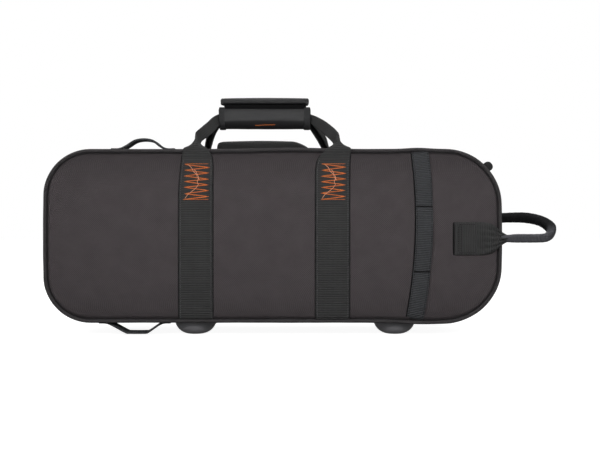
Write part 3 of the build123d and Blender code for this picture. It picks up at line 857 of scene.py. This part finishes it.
rear_left_top = (
    (-113.0, -92.4, 276.4, 0, -1, 0.1, 40, 0.3),
    (-113.0, -86.0, 284.0, 0, -0.9, 0.5, 40, 0.7),
    (-112.8, -77.0, 294.5, 0, -0.9, 0.4, 38, 0.92),
    (-110.4, -58.0, 305.9, -0.3, -0.85, 0.45, 36, 0.89),
    (-103.4, -36.0, 318.0, -0.45, -0.8, 0.5, 34, 0.87),
    (-93.0, -18.0, 327.0, -0.4, -0.75, 0.6, 30, 0.88),
    (-85.0, -9.5, 332.6, -0.2, -0.3, 0.9, 27, 0.93),
    (-76.0, -8.0, 334.6, 0, 0, 1, 26, 0.95),
    (-66.0, -7.5, 335.0, 0, 0, 1, 26, 0.95),
)
rear_right_top = (
    (37.0, -7.5, 335.0, 0, 0, 1, 26, 0.95),
    (48.0, -8.0, 334.4, 0, 0, 1, 26, 0.95),
    (56.5, -10.0, 331.0, 0.2, -0.3, 0.9, 27, 0.93),
    (65.1, -22.0, 321.5, 0.4, -0.75, 0.6, 32, 0.88),
    (78.5, -50.0, 306.0, 0.4, -0.8, 0.5, 36, 0.88),
    (85.0, -75.0, 294.5, 0.2, -0.9, 0.4, 38, 0.92),
    (88.0, -86.0, 284.0, 0, -0.9, 0.5, 40, 0.7),
    (91.0, -92.4, 276.4, 0, -1, 0.1, 40, 0.3),
)
left_up = strap_rows(LEFT_X, LID, left_taper)
right_down = strap_rows(RIGHT_X, LID, right_taper, up=False)
rear = stations((*left_up, *rear_left_top, *rear_right_top, *right_down), LID)
rear_web = webbing("rear_webbing", rear, 300, level_below=NECK)
finish_piece(
    rear_web, WIDE_WEB, None,
    ["rear_carry_loop", "rear_strap_left", "rear_strap_right"],
)
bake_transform(rear_web)

# ------------------------------------------------------------------ handle wrap

LEAN = 3.4  # how far the wrap's two edges lean in at the top
BELLY = 15  # radius of its round bottom


def wrap_sections(name, half_width, bottom, top, wall, xs, shrink):
    """Padded trough, open at the top, through sections along x."""
    sections = []
    for x, s in zip(xs, shrink):
        outer, inner = [], []
        radius = BELLY * s
        hw = half_width * s
        mid = (bottom + top) / 2
        low = mid - (mid - bottom) * s
        for k in range(9):
            t = k / 8
            outer.append((-hw + LEAN * (1 - t) ** 2, top + (low + radius - top) * t))
        for k in range(1, 17):
            a = math.pi + math.pi * k / 16
            outer.append((hw * math.cos(a), low + radius + radius * math.sin(a)))
        for k in range(1, 9):
            t = k / 8
            outer.append((hw - LEAN * t**2, low + radius + (top - low - radius) * t))
        for y, z in reversed(outer):
            scale = max(0.0, (hw - wall) / hw)
            below = low + radius - z
            inner.append((y * scale, z if below < 0 else low + radius - below * scale))
        sections.append([at(x, y, z) for y, z in outer + inner])
    return loft(name, sections)


wrap_low, wrap_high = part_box("handle_wrap")
WRAP_LEFT = (wrap_low.x - MID_X) / MM
WRAP_RIGHT = (wrap_high.x - MID_X) / MM
middle_xs = np.linspace(WRAP_LEFT + 5, WRAP_RIGHT - 5, 22)
xs = [WRAP_LEFT, WRAP_LEFT + 1.5, *middle_xs, WRAP_RIGHT - 1.5, WRAP_RIGHT]
shrink = [0.93, 0.985] + [1 + 0.006 * math.sin(k * 1.3) for k in range(22)] + [0.985, 0.93]
wrap = wrap_sections("padded_wrap", 18.9, 315.3, 347.6, 4.6, xs, shrink)
inflate(wrap, voxel=3 * MM, cap=0.8 * MM)
finish_piece(wrap, PADDED, "handle", ["handle_wrap"])

for i, (a, b) in enumerate(((WRAP_LEFT - 0.2, -75.2), (45.0, WRAP_RIGHT + 0.2))):
    xs = np.linspace(a, b, 6)
    binding = wrap_sections(
        "wrap_binding_" + "ab"[i], 20.0, 314.2, 348.4, 1.5, xs, [0.985, 1, 1, 1, 1, 0.985]
    )
    smooth_more(binding)
    finish_piece(binding, BINDING, "handle", ["wrap_bindings"])


def rounded_slab(name, low, high, radius, crown=0.0, cols=24, rows=8, slope=None):
    """Soft slab with superellipse sections along x and a crowned top."""
    low, high = np.asarray(low, float), np.asarray(high, float)
    xs = spread(low[0], high[0], cols, 1.8)
    sections = []
    for x in xs:
        end = min(x - low[0], high[0] - x)
        pull = 1 - math.sqrt(max(0.0, 1 - (max(0.0, radius - end) / radius) ** 2))
        hy = (high[1] - low[1]) / 2 - pull * radius
        hz = (high[2] - low[2]) / 2 - pull * radius * 0.8
        hy, hz = max(hy, 0.3 * MM), max(hz, 0.3 * MM)
        my, mz = (high[1] + low[1]) / 2, (high[2] + low[2]) / 2
        lift = crown * math.sin(math.pi * (x - low[0]) / (high[0] - low[0]))
        ring = []
        for k in range(4 * rows):
            a = 2 * math.pi * k / (4 * rows)
            c, s = math.cos(a), math.sin(a)
            y = my + hy * math.copysign(abs(c) ** 0.42, c)
            z = mz + hz * math.copysign(abs(s) ** 0.55, s)
            if s > 0:
                z += lift * s
                if slope:
                    z = mz + (z - mz) * slope(x)
            ring.append((x, y, z))
        sections.append(ring)
    return loft(name, sections)


LONGER = 6 * MM  # how far the hook-and-loop strips run past their CAD shape at each end
# The strips' near-black is partly their own colour and partly painted shade under the flap's lip.
for name, node, body, drop, rise in (
    ("fastener_loops", "wrap_loop_strip", "handle", 8, 0),
    ("fastener_hooks", "wrap_hook_strip", "flap", 0, 1.5),
):
    low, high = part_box(node)
    low = (low.x - LONGER, max(low.y, -15.2 * MM), low.z - drop * MM)
    high = (high.x + LONGER, -10.6 * MM, high.z + rise * MM)
    strip = rounded_slab(name, low, high, 0.6 * MM, cols=40)
    finish_piece(strip, HOOK_BLACK_AND_SHADE, body, [node])

flap_low, flap_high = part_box("wrap_flap")
flap = rounded_slab("padded_flap", flap_low, flap_high, 1.6 * MM, crown=0.8 * MM, cols=40, rows=6)
for vertex in flap.data.vertices:  # the free front edge droops, and both ends turn down to the wrap
    share = max(0.0, -(vertex.co.y) / (19 * MM))
    vertex.co.z -= 1.3 * MM * share**3
    end = min(vertex.co.x - flap_low.x, flap_high.x - vertex.co.x)
    if vertex.co.z < flap_low.z + 4 * MM:
        vertex.co.z -= 3.6 * MM * max(0.0, 1 - end / (7 * MM)) ** 0.7 * share**0.5
inflate(flap, voxel=2 * MM, cap=0.6 * MM)
finish_piece(flap, SHADED_FLAP_CLOTH, "flap", ["wrap_flap"])

# The cloth that the flap turns on, along the back edge of the wrap
rows = []
hinge_xs = np.linspace(flap_low.x + 4 * MM, flap_high.x - 4 * MM, 20)
for y, z, half in (
    (16.4, 343.0, 0.3), (17.6, 347.0, 0.6), (18.8, 350.2, 0.6), (19.4, 351.6, 0.5), (19.6, 352.6, 0.5),
    (19.4, 353.6, 0.5), (19.0, 355.0, 0.6), (18.2, 357.5, 0.6), (16.6, 359.5, 0.3),
):
    row = [(x, (y - half) * MM, z * MM) for x in hinge_xs]
    row += [(x, (y + half) * MM, z * MM) for x in hinge_xs[::-1]]
    rows.append(row)
flap_hinge = loft("flap_hinge_cloth", rows)
finish_piece(flap_hinge, PADDED)
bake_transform(flap_hinge)

pad_low, pad_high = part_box("top_pad")


def pad_slope(x):
    """The pad thins out towards its right end."""
    return 1 - 0.85 * max(0.0, min(1.0, (x - (pad_high.x - 24 * MM)) / (24 * MM))) ** 1.3


pad = rounded_slab("top_roll", pad_low, pad_high, 9 * MM, crown=1.0 * MM, cols=34, slope=pad_slope)
inflate(pad, voxel=4 * MM, cap=1.5 * MM)
finish_piece(pad, PAD_BLACK, "lid", ["top_pad"])

# ------------------------------------------------------------------ narrow webbing on the base


def chain_x(z):
    """Middle of the narrow strip at height z (mm), which bows towards the end handle."""
    t = (z - 26) / 251
    return 210.0 + 7.0 * t + 4 * 10.0 * t * (1 - t)


rows = []
for z in np.linspace(25.5, 272.5, 40):
    x = chain_x(z)
    depth = float(face_depth(MID_X + x * MM, z * MM, BASE)) / MM + 1.0
    loose = 0.0
    for low, high, size in ((30, 96, 1.6), (96, 192, 2.4), (192, 262, 1.6)):
        if low < z < high:
            loose = size * math.sin(math.pi * (z - low) / (high - low)) ** 0.8
    depth += loose
    if z > 268:
        depth = 88.2 - 1.8 * (z - 268) / 4.5
    if z < 30:
        depth = 86.9 + 2.0 * (z - 25.5) / 4.5
    rows.append((x, -depth, z, 0, -1, 0, 25, 0))
chain = webbing("shoulder_strip", stations(rows, BASE), 90, thickness=1.6 * MM)
finish_piece(chain, NARROW_WEB, "base", ["daisy_chain"])

# Place along the wall and lift above it (mm) of each lash loop
TOP_LASH = (
    (-240, 0), (-228, 0.3), (-218, 4.5), (-205, 12.5), (-191.6, 14.8), (-178, 12.5), (-167, 4.5),
    (-158, 0.3), (-146, 0),
)
BOTTOM_LASH = (
    (-258, 0), (-247, 0.5), (-238, 4), (-219, 14.2), (-213, 15.4), (-191, 15.4), (-185, 14.2),
    (-170, 4), (-162, 0.5), (-152, 0),
)
for label, level, up, points in (
    ("lash_loop_top", 275.5, 1, TOP_LASH),
    ("lash_loop_bottom", 21.5, -1, BOTTOM_LASH),
):
    rows = []
    for i, (x, lift) in enumerate(points):
        before, after = points[max(i - 1, 0)], points[min(i + 1, len(points) - 1)]
        slope = (after[1] - before[1]) / (after[0] - before[0])
        rows.append((x, -69.5, level + up * (1.6 + lift), -slope, 0, up, 25, 0))
    lash = webbing(label + "_web", stations(rows, BASE), 48, thickness=3.3 * MM)
    finish_piece(lash, NARROW_WEB, "base", [label])

# ------------------------------------------------------------------ end handle

TAB_Z = 144.6  # height of the end tab's middle
rows = []
for x, width, fold, pleat in (
    (268, 49, 0, 0), (280, 49, 0, 0), (296, 49, 0, 0.1), (308, 49, 0, 0.5), (318, 46, 0.04, 1.1),
    (326, 40, 0.08, 1.6), (332, 32, 0.15, 1.6), (338, 24, 0.3, 1.2), (344, 18, 0.45, 0.7),
    (349, 14, 0.6, 0.3),
):
    depth = float(face_depth(MID_X + min(x, 322) * MM, TAB_Z * MM, BASE)) / MM + 1.0
    depth = max(depth, min(91.8, 90 + (x - 300) * 0.12)) if x > 300 else depth
    if x > 335:
        depth = 90.6 - (x - 335) * 0.35
    rows.append((x, -depth - pleat * 0.7, TAB_Z, 0, -1, 0, width, fold, pleat))
tab = webbing("end_tab_web", stations(rows, BASE), 44)
finish_piece(tab, WIDE_WEB, "base", ["end_tab"])

patch_low, patch_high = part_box("end_root_patch")
patch = rounded_slab("root_patch", patch_low, patch_high, 0.7 * MM, cols=6, rows=8)
for vertex in patch.data.vertices:
    vertex.co = soften(vertex.co)
finish_piece(patch, NYLON, "base", ["end_root_patch"])

tube = curve_through(
    [
        (*at(336, -89.0, 144.4), 5.6, 3.6),
        (*at(345, -87.0, 144.6), 5.6, 3.2),
        (*at(353, -85.8, 144.8), 6.2, 2.8),
        (*at(362, -84.9, 145.0), 6.8, 2.6),
        (*at(398, -82.0, 145.2), 6.8, 3.0),
        (*at(410, -77.0, 147.6), 7.2, 4.6),
        (*at(417, -69.0, 153.8), 7.6, 6.6),
        (*at(418, -58.0, 161.5), 7.8, 7.8),
        (*at(409, -42.0, 170.5), 7.5, 7.5),
        (*at(390, -30.0, 175.5), 7.6, 7.6),
        (*at(366, -25.5, 176.0), 7.2, 7.2),
        (*at(344.5, -25.0, 175.0), 6.8, 6.8),
        (*at(336.5, -25.0, 175.0), 6.6, 6.6),
    ],
    110,
)
tangent = tangents_of(tube[:, :3])
sections = []
for i, (p, t) in enumerate(zip(tube, tangent)):
    side_way = unit(np.cross(t, (0, 0.42, -0.91)))
    up_way = np.cross(side_way, t)
    if abs(up_way[2]) > abs(side_way[2]):
        side_way, up_way = up_way, side_way
    tall, deep = p[3] * MM, p[4] * MM
    ring = []
    for k in range(24):
        a = 2 * math.pi * k / 24
        c, n = math.cos(a), math.sin(a)
        r = 1 + 0.03 * math.cos(3 * a + 0.4) + 0.012 * math.sin(i * 1.3)
        across = tall * r * math.copysign(abs(c) ** 0.7, c)
        through = deep * r * math.copysign(abs(n) ** 0.7, n)
        ring.append(p[:3] + side_way * across + up_way * through)
    sections.append(ring)
end_loop = loft("end_handle_tube", sections)
finish_piece(end_loop, LOOP, None, ["end_handle_loop"])
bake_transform(end_loop)

# ------------------------------------------------------------------ sewing


def strap_edge(x, taper, way, margin):
    """Heights and places (mm) along one edge of a face strap, margin outside it."""
    rows = np.array([(27, x, 50), (212, x, 50), *taper])
    heights = np.linspace(27, 270, 60)
    middles = np.interp(heights, rows[:, 0], rows[:, 1])
    widths = np.interp(heights, rows[:, 0], rows[:, 2])
    return heights, middles + way * (widths / 2 + margin)


for x, side, taper, body, cloth_piece in (
    (LEFT_X, BASE, left_taper, "base", front_web),
    (RIGHT_X, BASE, right_taper, "base", front_web),
    (LEFT_X, LID, left_taper, "lid", rear_web),
    (RIGHT_X, LID, right_taper, "lid", rear_web),
):
    way = (0, -side, 0)
    label = body + ("_left" if x < 0 else "_right")
    # Tack: one orange thread in a zigzag, seven points a side, and loose paler ends
    points = []
    turns = 13
    for k in range(turns):
        left = k % 2 == 0
        slant = 2.2 * k / turns
        px = x + (-15.5 - slant if left else 20.5 - slant) + random.uniform(-0.7, 0.7)
        pz = 254.0 - 51.5 * k / (turns - 1) + random.uniform(-0.6, 0.6)
        points.append(at(px, side * 92, pz))
    lines = []
    for strand in (-0.25, 0.3):
        path = []
        for k in range(turns - 1):
            shift = np.array((0, 0, strand * MM * (1 if k % 2 else -1)))
            piece = between(points[k] + shift, points[k + 1] + shift, 10)
            path.extend(piece[: 9 if k < turns - 2 else 10])
        lines.append(drape(cloth_piece, path, way, 0.45 * MM)[0])
    for z in (254.6, 202.2):
        line = between(at(x - 16.5, side * 92, z), at(x + 19.0, side * 92, z), 16)
        lines.append(drape(cloth_piece, line, way, 0.45 * MM)[0])
    thread(label + "_tack_thread", lines, 0.36 * MM, ORANGE, body)
    loose = []
    for x0, z0, x1, z1 in ((-12, 254, 3, 238), (3, 238, 4, 224), (4, 224, -16, 203), (-2, 246, 6, 231)):
        line = between(at(x + x0, side * 92, z0), at(x + x1, side * 92, z1), 14)
        line += np.array([(1.2 * MM * math.sin(k * 0.5), 0, 0) for k in range(14)])
        loose.append(drape(cloth_piece, line, way, 1.1 * MM)[0])
    thread(label + "_loose_thread", loose, 0.42 * MM, PALE_ORANGE, body)
    # Edge stitching, and dark cords just outside the webbing's edges: painted shade of the gap under
    # each edge
    runs, shade_cords = [], []
    for edge in (-1, 1):
        heights, places = strap_edge(x, taper, edge, -2.4)
        line = [at(px, side * 92, z) for px, z in zip(places[:-2], heights[:-2])]
        runs.append(drape(cloth_piece, line[::-1], way))
        heights, places = strap_edge(x, taper, edge, 0.4)
        zs = heights[::-1] * MM
        xs = MID_X + places[::-1] * MM
        shade_cords.append(on_face(xs, zs, side, 0.3 * MM))
    dashes(label + "_edge_stitches", runs, 0.4 * MM, 3.4 * MM, 2.2 * MM, GREY_THREAD, body)
    thread(label + "_edge_welts", shade_cords, 0.75 * MM, TAPE, body)

# Narrow strip: stitches along both edges, bars where it is sewn down, and a dark cord on its left:
# painted shade along that edge
runs, bars = [], []
for offset in (-10.6, 10.6):
    line = [at(chain_x(z) + offset, -92, z) for z in np.linspace(272, 28, 70)]
    runs.append(drape(chain, line, (0, 1, 0)))
dashes("strip_stitches", runs, 0.42 * MM, 3.6 * MM, 2.3 * MM, THREAD, "base")
for z in (96, 192):
    for lift in (-0.5, 0.5):
        line = between(at(chain_x(z) - 12, -92, z + lift), at(chain_x(z) + 12, -92, z + lift), 22)
        line += np.array([(0, 0, 0.45 * MM * (-1) ** k) for k in range(22)])
        bars.append(drape(chain, line, (0, 1, 0), 0.35 * MM)[0])
thread("strip_bar_tacks", bars, 0.6 * MM, THREAD, "base")
zs = np.linspace(272, 27, 60) * MM
xs = np.array([MID_X + (chain_x(z / MM) - 13.1) * MM for z in zs])
thread("strip_shade_cord", [on_face(xs, zs, BASE, 0.4 * MM)], 1.1 * MM, TAPE, "base")

# End tab: a box of stitches, and a dark cord along its sewn edge: painted shade along that edge
runs = []
for x0, z0, x1, z1 in (
    (274, 124, 274, 165), (277.5, 124, 277.5, 165), (274, 165.5, 300, 165.5), (274, 123.7, 300, 123.7),
):
    runs.append(drape(tab, between(at(x0, -92, z0), at(x1, -92, z1), 20), (0, 1, 0)))
dashes("tab_stitches", runs, 0.42 * MM, 3.4 * MM, 2.3 * MM, THREAD, "base")
zs = np.linspace(168.5, 120.5, 16) * MM
xs = np.full(16, MID_X + 267.2 * MM)
thread("tab_shade_cord", [on_face(xs, zs, BASE, 0.7 * MM)], 1.5 * MM, TAPE, "base")

# Small orange bar tack low on the front of the handle wrap
path = [
    at(-29.4 + 31.1 * k / 26, -26, 320.2 + 1.2 * k / 26 + 0.55 * (-1) ** k) for k in range(27)
]
line, _ = drape(wrap, path, (0, 1, 0), 0.35 * MM)
thread("wrap_bar_tack", [line], 0.55 * MM, ORANGE, "handle")

# ------------------------------------------------------------------ linings, zip and hinge


def block_from_outline(name, inset, back, front, side, edge=3 * MM, cols=60, rows_n=34):
    """Foam cut to the case's outline. back and front are depths; front may be a function."""
    rows = []
    half_z = HALF_HEIGHT - inset
    for z in spread(MID_Z - half_z, MID_Z + half_z, rows_n, 1.6):
        x = spread(*row_ends(z, inset), cols, 1.5)
        d = np.clip(inside(x, np.full_like(x, z)) - inset, 0, edge)
        pull = edge - np.sqrt(np.clip(edge**2 - (edge - d) ** 2, 0, None))
        top = np.array([front(a, z) if callable(front) else front for a in x])
        lean = np.sign(back - top)
        near = np.stack((x, side * (top + lean * pull), np.full_like(x, z)), axis=1)
        far = np.stack((x, np.full_like(x, side * back), np.full_like(x, z)), axis=1)
        rows.append(soften(np.vstack((near, far[::-1]))))
    return loft(name, rows)


def egg_crate(x, z):
    """Depth of the lid's foam, with rounded peaks and hollows."""
    wave = math.sin(2 * math.pi * (x - MID_X) / (38 * MM)) * math.sin(2 * math.pi * z / (38 * MM))
    return (60.5 - 4.2 * wave) * MM


# Inset and depth (mm) of the lining's wall, the binding's lip and the zip tape
LINING_WALL = (
    (-1.2, 1.3), (-0.1, 1.6), (0, 4), (0, 30), (0, 60), (0, 77), (0.6, 79.8), (2.6, 80.7),
)
LIP = (
    (2.0, 1.15), (1.7, 0.7), (2.0, 0.28), (5.3, 0.2), (8.5, 0.28), (8.9, 0.7), (8.6, 1.15), (5.3, 1.2),
)
ZIP_TAPE = ((1.45, 0.4), (0.4, 0.4), (0.2, 3.2), (0.35, 8), (0.3, 13.2), (0.9, 13.9), (1.45, 13.2))
ZIP_END = 22.2 * MM  # the tape stops at this height, above the hinge

for side, half in SIDES:
    rings = [ring_at(9 * MM + inset * MM, side * depth * MM) for inset, depth in LINING_WALL]
    wall = loft(
        half + "_lining_wall", np.swapaxes(rings, 0, 1), closed_section=False, closed_path=True
    )
    back = block_from_outline(half + "_lining_back", 8.8 * MM, 82.2 * MM, 80.6 * MM, side, 0.8 * MM)
    lining = merge(half + "_lining_cloth", [wall, back])
    finish_piece(lining, LINING, half, [half + "_lining"])

    rings = [ring_at(inset * MM, side * depth * MM) for inset, depth in LIP]
    lip = loft(half + "_edge_binding", np.swapaxes(rings, 0, 1), closed_path=True)
    finish_piece(lip, BINDING, half, [half + "_seam_binding"])

    # Zip: tape and coil run over the top and both ends, and stop above the hinge
    keep = np.where(RING[:, 1] > ZIP_END)[0]
    first = keep[np.argmax(np.diff(np.concatenate(([keep[-1] - len(RING)], keep))) > 1)]
    order = np.concatenate((keep[keep >= first], keep[keep < first]))

    def along_zip(section, order=order, side=side):
        return [
            [
                soften((RING[i, 0], 0, RING[i, 1]))
                - np.array((RING_NORMAL[i, 0], 0, RING_NORMAL[i, 1])) * inset * MM
                + np.array((0, side * depth * MM, 0))
                for inset, depth in section
            ]
            for i in order
        ]

    tape = loft(half + "_zip_cloth", along_zip(ZIP_TAPE))
    finish_piece(tape, TAPE, half, [half + "_zip_tape"])
    centre = np.array([row[0] for row in along_zip(((-0.35, 1.6),))])
    fine = curve_through(centre, 1100)
    tangent = tangents_of(fine)
    sections = []
    for i, (point, t) in enumerate(zip(fine, tangent)):
        outward = unit(np.cross(t, (0, 1, 0)))
        if (point - np.array((MID_X, 0, MID_Z))) @ outward < 0:
            outward = -outward
        swell = 0.82 + 0.18 * math.cos(i * math.pi)
        ring = []
        for k in range(10):
            a = 2 * math.pi * k / 10
            ring.append(
                point
                + outward * 0.85 * MM * swell * math.cos(a)
                + np.array((0, 1, 0)) * 1.3 * MM * (0.9 + 0.1 * swell) * math.sin(a)
            )
        sections.append(ring)
    coil = loft(half + "_zip_coil", sections)
    finish_piece(coil, COIL, half)

hinge_low, hinge_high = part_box("base_hinge_tape")
ys = [-14, -13.4, -10, -6, -3, -2, -1.4, -0.9, -0.45, 0, 0.45, 0.9, 1.4, 2, 3, 6, 10, 13.4, 14]
xs = np.linspace(hinge_low.x, hinge_high.x, 40)
rows = []
for y in ys:
    thin = 0.5 if abs(y) == 14 else 1.0
    row = [(x, y * MM, hinge_low.z + (1 - thin) * 0.6 * MM) for x in xs]
    row += [(x, y * MM, hinge_low.z + 0.5 * MM + thin * 0.6 * MM) for x in xs[::-1]]
    rows.append(row)
hinge = loft("hinge_cloth", rows)
finish_piece(hinge, TAPE, None, ["base_hinge_tape", "lid_hinge_tape"])
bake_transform(hinge)

# ------------------------------------------------------------------ padding inside

floor_block = block_from_outline("base_foam_bed", 9.6 * MM, 80.8 * MM, 66 * MM, BASE)
finish_piece(floor_block, FOAM, "base", ["floor_foam"])
crate = block_from_outline(
    "lid_foam_bed", 9.6 * MM, 80.8 * MM, egg_crate, LID, edge=6 * MM, cols=150, rows_n=70
)
finish_piece(crate, FOAM, "lid", ["lid_foam"])

for node, name in (
    ("tube_cradle_left", "left_cradle_pad"), ("tube_cradle_right", "right_cradle_pad"),
):
    low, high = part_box(node)
    mid_y, mid_z, radius = -8 * MM, 112 * MM, 50 * MM  # of the tube that it holds
    profile = [(low.y, low.z + 1 * MM), (low.y, high.z - 1 * MM), (low.y + 1 * MM, high.z)]
    profile += [(high.y - 3 * MM, high.z), (high.y, high.z - 3 * MM)]
    start = math.asin(min(1.0, (high.y - mid_y) / radius))
    for k in range(25):
        angle = (-1 + 2 * k / 24) * (math.pi / 2 + start)
        profile.append((mid_y - radius * math.cos(angle), mid_z - radius * math.sin(angle)))
    profile += [(high.y, low.z + 3 * MM), (high.y - 3 * MM, low.z), (low.y + 1 * MM, low.z)]
    profile = [p for i, p in enumerate(profile) if i == 0 or math.dist(p, profile[i - 1]) > 1e-5]
    middle = ((low.y + high.y) / 2, (low.z + high.z) / 2)
    sections = []
    for x, scale in (
        (low.x, 0.955), (low.x + 1.2 * MM, 0.985), (low.x + 4 * MM, 1.0), (low.x + 14 * MM, 1.0),
        (high.x - 14 * MM, 1.0), (high.x - 4 * MM, 1.0), (high.x - 1.2 * MM, 0.985), (high.x, 0.955),
    ):
        sections.append(
            [
                (x, middle[0] + (y - middle[0]) * scale, middle[1] + (z - middle[1]) * scale)
                for y, z in profile
            ]
        )
    cradle = loft(name, sections)
    finish_piece(cradle, FOAM, "base", [node])

for node, name in (
    ("end_bolster_left", "left_bolster_pad"), ("end_bolster_right", "right_bolster_pad"),
):
    low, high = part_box(node)
    bolster = rounded_slab(name, low, high, 4 * MM, cols=14, rows=8)
    inflate(bolster, voxel=5 * MM, cap=1.0 * MM)
    finish_piece(bolster, FOAM, "base", [node])

low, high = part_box("long_divider")
divider = rounded_slab("long_divider_pad", low, high, 4 * MM, cols=30, rows=8)
finish_piece(divider, FOAM, "base", ["long_divider"])
low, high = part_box("accessory_dividers")
short = [
    rounded_slab(
        "short_divider", (MID_X + (x - 6) * MM, low.y, low.z), (MID_X + (x + 6) * MM, high.y, high.z),
        3 * MM, cols=10,
    )
    for x in (-92, 96)
]
dividers = merge("short_divider_pads", short)
finish_piece(dividers, FOAM, "base", ["accessory_dividers"])

for node in ("tube_strap_left", "tube_strap_right"):
    low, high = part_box(node)
    x = ((low.x + high.x) / 2 - MID_X) / MM
    rows = [(x, -2.3, z, 0, 1, 0, 38, 0) for z in np.linspace(low.z / MM, high.z / MM, 12)]
    strap = webbing(node + "_web", stations(rows, BASE), 40, thickness=1.4 * MM)
    finish_piece(strap, WIDE_WEB, "base", [node])

# ------------------------------------------------------------------ stage and light

scene = bpy.context.scene
scene.view_settings.view_transform = "Standard"
scene.view_settings.look = "None"

world = bpy.data.worlds.new("world")
scene.world = world
world.use_nodes = True
tree = world.node_tree
backdrop = tree.nodes["Background"]
backdrop.inputs["Color"].default_value = (1, 1, 1, 1)
backdrop.inputs["Strength"].default_value = 1.0
ambient = tree.nodes.new("ShaderNodeBackground")
ambient.inputs["Color"].default_value = (1, 1, 1, 1)
ambient.inputs["Strength"].default_value = 0.42
split = tree.nodes.new("ShaderNodeSeparateXYZ")
tree.links.new(tree.nodes.new("ShaderNodeTexCoord").outputs["Generated"], split.inputs[0])
sky = tree.nodes.new("ShaderNodeMapRange")
for socket, value in (("From Min", -0.35), ("From Max", 0.3), ("To Min", 0.1), ("To Max", 0.46)):
    sky.inputs[socket].default_value = value
tree.links.new(split.outputs[2], sky.inputs["Value"])
tree.links.new(sky.outputs[0], ambient.inputs["Strength"])
pick = tree.nodes.new("ShaderNodeMixShader")
tree.links.new(tree.nodes.new("ShaderNodeLightPath").outputs["Is Camera Ray"], pick.inputs[0])
tree.links.new(ambient.outputs[0], pick.inputs[1])
tree.links.new(backdrop.outputs[0], pick.inputs[2])
tree.links.new(pick.outputs[0], tree.nodes["World Output"].inputs["Surface"])

floor_data = bpy.data.meshes.new("floor")
size = 8
floor_data.from_pydata(
    [(-size, -size, 0), (size, -size, 0), (size, size, 0), (-size, size, 0)], [], [(0, 1, 2, 3)]
)
floor = bpy.data.objects.new("floor", floor_data)
scene.collection.objects.link(floor)
floor_material, tree, shader = new_material("floor", 0.9)
shader.inputs["Base Color"].default_value = (0.3, 0.3, 0.3, 1)
shader.inputs["Emission Color"].default_value = (1, 1, 1, 1)
shader.inputs["Emission Strength"].default_value = 0.93
floor.data.materials.append(floor_material)
floor.visible_diffuse = False
floor.visible_glossy = False


def area_light(name, place, target, size, power):
    data = bpy.data.lights.new(name, "AREA")
    data.shape = "RECTANGLE"
    data.size, data.size_y = size
    data.energy = power
    light = bpy.data.objects.new(name, data)
    light.location = place
    direction = Vector(target) - Vector(place)
    light.rotation_euler = direction.to_track_quat("-Z", "Y").to_euler()
    scene.collection.objects.link(light)
    return light


area_light("key", (0.7, -2.3, 0.9), (0.02, 0, 0.17), (0.7, 0.5), 8)
area_light("fill", (-1.6, -1.9, 0.5), (0, 0, 0.15), (0.9, 0.9), 5)
area_light("top", (0.0, 0.3, 1.7), (0, 0, 0.2), (1.2, 0.6), 9)
area_light("back", (-0.7, 2.4, 1.1), (0, 0, 0.15), (1.0, 0.8), 26)
strip = area_light("strip", (0.0, -0.62, 0.33), (0, -0.09, 0.2), (1.3, 0.08), 3.6)
strip.visible_camera = False
